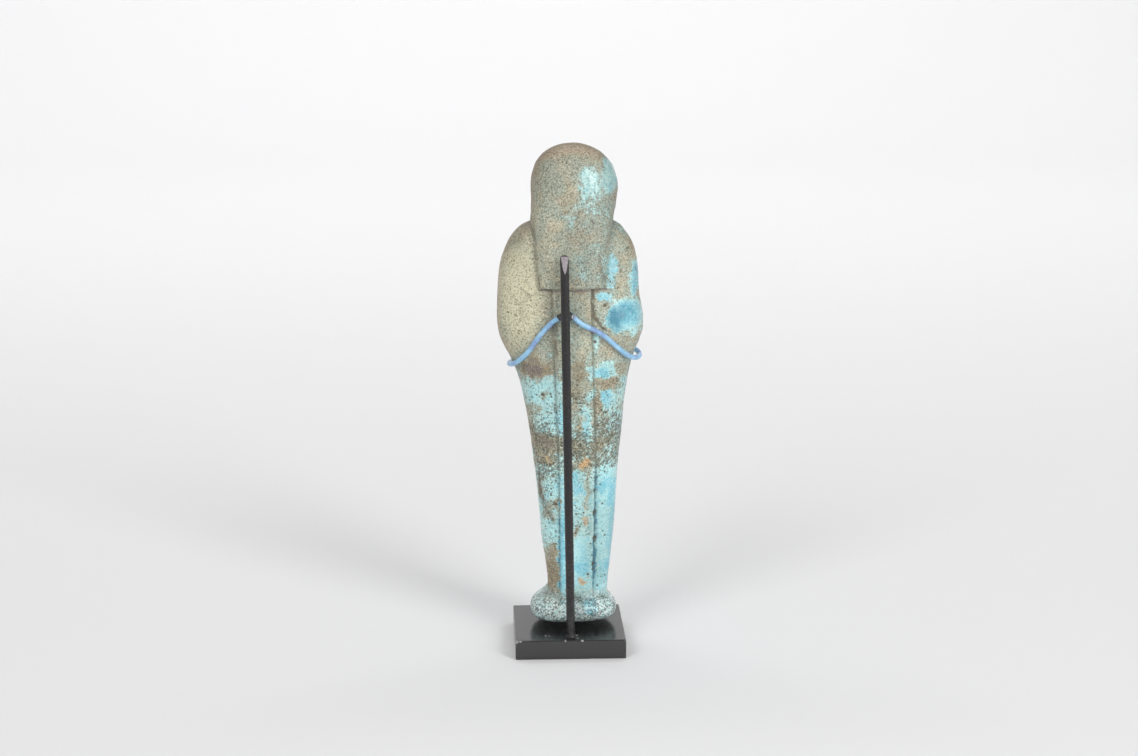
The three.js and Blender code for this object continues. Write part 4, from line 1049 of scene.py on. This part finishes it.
WIRE_R = 1.0
WIRE_MID_Z = 124.9
LEFT_ARM = [(5.4, 12.1, 123.4), (7.7, 10.9, 121.1), (10.1, 10.15, 118.3), (12.1, 9.6, 115.5), (14.1, 8.75, 112.4),
            (15.8, 7.8, 110.1), (17.8, 6.05, 107.9), (19.8, 3.0, 105.9), (21.15, -1.4, 104.8), (21.0, -5.2, 104.4),
            (20.1, -9.0, 104.1), (18.6, -12.3, 104.0)]
RIGHT_ARM = [(-0.5, 12.35, 124.7), (-2.6, 12.2, 122.9), (-5.4, 12.05, 121.1), (-8.7, 10.9, 119.4), (-12.0, 10.0, 117.1),
             (-15.0, 9.1, 114.4), (-17.9, 7.65, 111.6), (-20.6, 5.5, 109.2), (-22.9, 2.5, 107.7), (-24.9, -0.9, 107.1),
             (-25.7, -4.2, 107.2), (-25.1, -8.0, 107.8), (-23.7, -11.2, 108.1), (-21.6, -13.6, 108.2)]


def build_wire():
    mid = (rod_x(WIRE_MID_Z), ROD_Y0 - ROD_R - GAP - WIRE_R, WIRE_MID_Z)
    pts = LEFT_ARM[::-1] + [mid] + RIGHT_ARM
    path = smooth_path(pts, 12)
    # pull the ends back by the dome's radius
    rng = np.random.default_rng(4)
    k = rng.uniform(0, 2 * math.pi, 6)

    def radius(s):
        r = WIRE_R * 0.94
        return r + 0.012 * np.sin(s * 1.1 + k[0]) + 0.012 * np.sin(s * 2.7 + k[1]) + 0.008 * np.sin(s * 5.3 + k[2])
    return tube("wire_painted", path[6:-6], radius, 20)


def build_rod():
    """The rod down to the plate, traced so that the facet's edges are slightly rounded."""
    sides, rows = 64, []
    z0 = 138.0
    th = np.arange(sides) * 2 * math.pi / sides
    body_z = np.concatenate([[PLATE_T - 0.4], np.linspace(PLATE_T + 0.02, PLATE_T + 2.2, 6), np.linspace(PLATE_T + 6, 136.5, 26)])
    rings = []
    for z in body_z:
        r = ROD_R - 0.02
        # fillet of paint where the rod meets the plate
        r += 0.42 * math.exp(-max(z - PLATE_T, 0) / 0.35) if z < PLATE_T + 2.5 else 0.0
        rings.append(np.stack([r * np.sin(th), r * np.cos(th), np.full(sides, z)], 1))

    def F(x, y, z):
        c = np.hypot(x, y) - (ROD_R - 0.02)
        n = math.hypot(1, 2.5)
        cut = ((y - ROD_R) * 2.5 + (z - 141.0)) / n
        f = smax(c, cut, 0.14)
        # the very tip is blunted
        return smax(smax(f, z - 146.9, 0.5), -y - 1.35 + 0.10 * (146.9 - z), 0.3)
    m = 78
    for i in range(m):
        el = math.radians(90 * (i / m) ** 0.62) if i else 0.0
        lo, hi = np.zeros(sides), np.full(sides, 12.0)
        for _ in range(28):
            t = (lo + hi) / 2
            ins = F(t * math.cos(el) * np.sin(th), t * math.cos(el) * np.cos(th), z0 + t * math.sin(el)) < 0
            lo, hi = np.where(ins, t, lo), np.where(ins, hi, t)
        rings.append(np.stack([lo * math.cos(el) * np.sin(th), lo * math.cos(el) * np.cos(th), z0 + lo * math.sin(el)], 1))
    V = np.vstack(rings)
    top = V[-sides:].mean(0)
    V = np.vstack([V, [[0, 0, body_z[0]]], [top]])
    V[:, 0] += rod_x(V[:, 2])
    V[:, 1] += ROD_Y0
    n = len(rings)
    f = []
    for i in range(n - 1):
        for j in range(sides):
            k = (j + 1) % sides
            f.append((i * sides + j, (i + 1) * sides + j, (i + 1) * sides + k, i * sides + k))
    for j in range(sides):
        k = (j + 1) % sides
        f.append((n * sides, j, k))
        f.append((n * sides + 1, (n - 1) * sides + k, (n - 1) * sides + j))
    return oriented(make_mesh("rod_painted", V * MM, f))


def build_braze():
    """The lump of braze and paint that joins the wire's middle to the rod, filling the gap between them."""
    c = np.array([rod_x(124.9), 13.75, 124.85])
    nu, nv = 56, 40
    th = np.arange(nu) * 2 * math.pi / nu
    rings = []

    def F(x, y, z):
        wire = cap(x, y, z, (c[0] + 1.9, 12.50, 124.5), (c[0] - 2.3, 12.52, 124.75), 1.12, 1.20)
        rod = cap(x, y, z, (c[0], ROD_Y0, 123.2), (c[0], ROD_Y0, 126.6), ROD_R + 0.10, ROD_R + 0.06)
        rod = smax(rod, y - ROD_Y0 - 0.2, 0.5)
        f = smin(wire, rod, 1.1)
        f = smin(f, ell(x, y, z, (c[0] - 1.5, 13.3, 125.3), (0.95, 1.1, 1.45)), 0.6)
        f = smin(f, ell(x, y, z, (c[0] + 1.4, 13.4, 124.8), (0.8, 1.1, 1.15)), 0.6)
        return f
    for i in range(1, nv):
        el = -math.pi / 2 + math.pi * i / nv
        lo, hi = np.zeros(nu), np.full(nu, 6.0)
        ts = np.linspace(6, 0.2, 60)
        got = np.zeros(nu, bool)
        prev = 6.0
        for t in ts:
            v = F(c[0] + t * math.cos(el) * np.sin(th), c[1] + t * math.cos(el) * np.cos(th), c[2] + t * math.sin(el)) < 0
            new = v & ~got
            lo[new], hi[new] = t, prev
            got |= new
            prev = t
        for _ in range(16):
            t = (lo + hi) / 2
            ins = F(c[0] + t * math.cos(el) * np.sin(th), c[1] + t * math.cos(el) * np.cos(th), c[2] + t * math.sin(el)) < 0
            lo, hi = np.where(ins, t, lo), np.where(ins, hi, t)
        R = np.stack([c[0] + lo * math.cos(el) * np.sin(th), c[1] + lo * math.cos(el) * np.cos(th), c[2] + lo * math.sin(el)], 1)
        R += (noise(R, 0.9, 3) - 0.5)[:, None] * 0.22 * (R - c) / np.linalg.norm(R - c, axis=1)[:, None]
        rings.append(R)
    V = np.vstack(rings + [[rings[0].mean(0)], [rings[-1].mean(0)]])
    n = len(rings)
    f = []
    for i in range(n - 1):
        for j in range(nu):
            k = (j + 1) % nu
            f.append((i * nu + j, (i + 1) * nu + j, (i + 1) * nu + k, i * nu + k))
    for j in range(nu):
        k = (j + 1) % nu
        f.append((n * nu, j, k))
        f.append((n * nu + 1, (n - 1) * nu + k, (n - 1) * nu + j))
    return oriented(make_mesh("braze_joint", V * MM, f))


def build_plate():
    """The foot plate with eased, slightly nicked edges."""
    half, t, r = 19.985, PLATE_T, 0.45
    n = 96
    k = 22
    u = np.linspace(-1, 1, n + 1)
    u = np.sign(u) * (1 - (1 - np.abs(u)) ** 1.5)          # closer lines at the edges
    w = np.linspace(-1, 1, k + 1)
    w = np.sign(w) * (1 - (1 - np.abs(w)) ** 1.3)
    index, V, F = {}, [], []

    def vid(a, b, c):
        key = (round(a, 6), round(b, 6), round(c, 6))
        if key not in index:
            index[key] = len(V)
            V.append((a, b, c))
        return index[key]
    for s in (-1, 1):
        for i in range(n):
            for j in range(n):
                q = [vid(u[i], u[j], s), vid(u[i + 1], u[j], s), vid(u[i + 1], u[j + 1], s), vid(u[i], u[j + 1], s)]
                F.append(q if s > 0 else q[::-1])
        for i in range(n):
            for j in range(k):
                q = [vid(u[i], s, w[j]), vid(u[i + 1], s, w[j]), vid(u[i + 1], s, w[j + 1]), vid(u[i], s, w[j + 1])]
                F.append(q if s < 0 else q[::-1])
                q = [vid(s, u[i], w[j]), vid(s, u[i + 1], w[j]), vid(s, u[i + 1], w[j + 1]), vid(s, u[i], w[j + 1])]
                F.append(q if s > 0 else q[::-1])
    V = np.array(V, float) * np.array([half, half, t / 2])
    # pull every point to the rounded box
    inner = np.array([half - r, half - r, t / 2 - r])
    C = np.clip(V, -inner, inner)
    D = V - C
    L = np.linalg.norm(D, axis=1)
    edge = (np.abs(D) > 1e-6).sum(1) >= 2
    D = D / np.maximum(L, 1e-9)[:, None] * r
    rr = np.where(L > 1e-6, 1.0, 0.0)[:, None]
    V = C + D * rr
    V[:, 2] += t / 2
    # small knocks, only into the edges
    knocks = [((19.9, 19.9, 7.1), 1.3, 0.30), ((18.0, 20, 7.2), 0.8, 0.18), ((2.0, 20, 7.2), 0.7, 0.14), ((-4.0, 20, 7.2), 0.9, 0.16),
              ((-12.5, 20, 7.2), 0.7, 0.10), ((-19.9, 19.9, 7.0), 0.9, 0.18), ((20, 3.0, 7.2), 0.8, 0.14), ((-20, -6.0, 7.2), 0.9, 0.14),
              ((7.0, -20, 7.2), 0.8, 0.14), ((-19.9, -19.9, 7.1), 1.0, 0.22), ((20, -19.9, 0.2), 0.9, 0.2), ((-8, 20, 0.1), 0.8, 0.12)]
    mid = np.array([0, 0, t / 2])
    for p, rad, dep in knocks:
        q = np.exp(-((V - np.array(p)) ** 2).sum(1) / rad ** 2) * dep
        V += (mid - np.array(p)) / np.linalg.norm(mid - np.array(p)) * q[:, None]
    V += np.where(edge, -0.03 * fbm(V, 2.0, 2, 5), 0)[:, None] * np.sign(V - mid) * 0.5
    V[:, 2] = np.where(V[:, 2] < 0.02, 0.0, V[:, 2])
    return oriented(make_mesh("plate_painted", V * MM, [tuple(f) for f in F]))


# =====================================================================  assembly
fig = oriented(build_figurine())
fig.data.materials.append(faience_material())
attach(fig, "root")
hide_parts("figurine")

plate = build_plate()
plate.data.materials.append(black_material("black_paint", base=(0.010, 0.0095, 0.0100), rough=(0.17, 0.21), wear=plate_wear_and_glints, ior=1.8))
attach(plate, "root")
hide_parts("foot_plate")

rod = build_rod()
rod.data.materials.append(black_material("rod_paint", base=(0.012, 0.0108, 0.0115), rough=(0.24, 0.34), wear=rod_wear_and_reflection))
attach(rod, "root")
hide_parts("support_rod")

wire = build_wire()
wire.data.materials.append(blue_material())
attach(wire, "root")
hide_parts("cradle_wire")

braze = build_braze()
braze.data.materials.append(braze_material())
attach(braze, "root")

# =====================================================================  floor, lights, camera
def floor():
    """A pale sheet that lies flat and sweeps up on every side, well away from the object."""
    x1, y0, y1, rise, n = 2.1, -1.3, 2.2, 1.1, 8
    ring = []
    for cx, cy, start in [(x1, y1, 0), (-x1, y1, 90), (-x1, y0, 180), (x1, y0, 270)]:
        for k in range(n + 1):
            a = math.radians(start + 90.0 * k / n)
            ring.append((cx, cy, math.cos(a), math.sin(a)))
    V, F = [(0.0, 0.0, 0.0)], []
    m_ = len(ring)
    steps = 24
    for k in range(steps + 1):
        a = math.radians(86) * k / steps
        d, z = rise * math.sin(a), rise * (1 - math.cos(a))
        V += [(cx + d * ux, cy + d * uy, z) for cx, cy, ux, uy in ring]
    for j in range(m_):
        if ring[j][:2] != ring[(j + 1) % m_][:2]:
            F.append((0, 1 + j, 1 + (j + 1) % m_))
    for k in range(steps):
        for j in range(m_):
            a, b = 1 + k * m_ + j, 1 + k * m_ + (j + 1) % m_
            if k == 0 and ring[j][:2] == ring[(j + 1) % m_][:2]:
                F.append((a, a + m_, b + m_))
            else:
                F.append((a, a + m_, b + m_, b))
    ob = make_mesh("floor", np.array(V), F)
    m = Nodes("pale_floor")
    m.bsdf.inputs["Base Color"].default_value = (0.81, 0.81, 0.818, 1)
    m.bsdf.inputs["Roughness"].default_value = 0.9
    m.bsdf.inputs["Specular IOR Level"].default_value = 0.1
    ob.data.materials.append(m.mat)


floor()

scene = bpy.context.scene
WORLD_LOW, WORLD_HIGH = 0.20, 0.37
world = bpy.data.worlds.new("studio")
world.use_nodes = True
wt = world.node_tree
bg = wt.nodes["Background"]
bg.inputs[0].default_value = (1.0, 1.0, 1.0, 1)
wco = wt.nodes.new("ShaderNodeTexCoord")
wsep = wt.nodes.new("ShaderNodeSeparateXYZ")
wt.links.new(wco.outputs["Generated"], wsep.inputs[0])
wmap = wt.nodes.new("ShaderNodeMapRange")
wmap.inputs["From Min"].default_value = 0.0
wmap.inputs["From Max"].default_value = 0.8
wmap.inputs["To Min"].default_value = WORLD_LOW
wmap.inputs["To Max"].default_value = WORLD_HIGH
wt.links.new(wsep.outputs[2], wmap.inputs["Value"])
wt.links.new(wmap.outputs["Result"], bg.inputs[1])
scene.world = world
scene.view_settings.view_transform = "Standard"
scene.view_settings.look = "None"
scene.view_settings.exposure = 0.0
scene.view_settings.gamma = 1.0


def area(name, loc, target, size, size_y, power, colour=(1, 1, 1)):
    L = bpy.data.lights.new(name, "AREA")
    L.shape = "RECTANGLE"
    L.size, L.size_y = size, size_y
    L.energy = power
    L.color = colour
    o = bpy.data.objects.new(name, L)
    scene.collection.objects.link(o)
    from mathutils import Vector
    d = Vector(target) - Vector(loc)
    o.location = loc
    o.rotation_euler = d.to_track_quat("-Z", "Y").to_euler()
    return o


def around(az_deg, el_deg, dist, z0=0.09):
    """A place seen from the figure: azimuth from the camera's side (+Y), turning towards -X (the camera's right)."""
    a, e = math.radians(az_deg), math.radians(el_deg)
    return (-math.sin(a) * math.cos(e) * dist, math.cos(a) * math.cos(e) * dist, z0 + math.sin(e) * dist)


area("key_right", around(38, 32, 1.3), (0, 0, 0.09), 0.40, 0.72, 7.1, (1.0, 0.995, 0.985))
area("key_left", around(-36, 38, 1.3), (0, 0, 0.09), 0.50, 0.60, 5.5, (1.0, 0.995, 0.985))
area("kick_right", around(45, 7, 1.4), (0, 0, 0.09), 0.26, 0.40, 2.0, (1.0, 1.0, 1.0))
area("back_wash", (0.0, -0.80, 1.60), (0.0, -2.2, 0.25), 2.6, 0.8, 30.0, (1, 1, 1))
area("front_wash", (0.0, 1.85, 1.60), (0.0, 3.3, 0.40), 2.6, 0.8, 18.0, (1, 1, 1))
area("side_wash_1", (1.75, 0.4, 1.60), (3.2, 0.4, 0.40), 0.8, 2.2, 12.0, (1, 1, 1))
area("side_wash_2", (-1.75, 0.4, 1.60), (-3.2, 0.4, 0.40), 0.8, 2.2, 12.0, (1, 1, 1))

cam_data = bpy.data.cameras.new("camera")
cam = bpy.data.objects.new("camera", cam_data)
scene.collection.objects.link(cam)
cam_data.sensor_width = 36.0
cam_data.lens = 70.006
cam_data.clip_start = 0.02
cam_data.clip_end = 50
cam_data.dof.use_dof = False
AZ, EL, ROLL, DIST = math.radians(-2.681), math.radians(13.216), math.radians(-0.0861), 0.79555
TARGET = np.array([0.000048, 0.0, 0.09967])
back = np.array([math.sin(AZ) * math.cos(EL), -math.cos(AZ) * math.cos(EL), math.sin(EL)])
right = np.array([math.cos(AZ), math.sin(AZ), 0.0])
up = np.cross(back, right)
r2 = math.cos(ROLL) * right - math.sin(ROLL) * up
u2 = math.sin(ROLL) * right + math.cos(ROLL) * up
pos = TARGET + back * DIST
flip = np.diag([-1.0, -1.0, 1.0])                     # the figurine's back is towards the camera
r2, u2, back, pos = flip @ r2, flip @ u2, flip @ back, flip @ pos
from mathutils import Matrix
cam.matrix_world = Matrix(((r2[0], u2[0], back[0], pos[0]), (r2[1], u2[1], back[1], pos[1]),
                           (r2[2], u2[2], back[2], pos[2]), (0, 0, 0, 1)))
scene.camera = cam

bpy.context.view_layer.update()
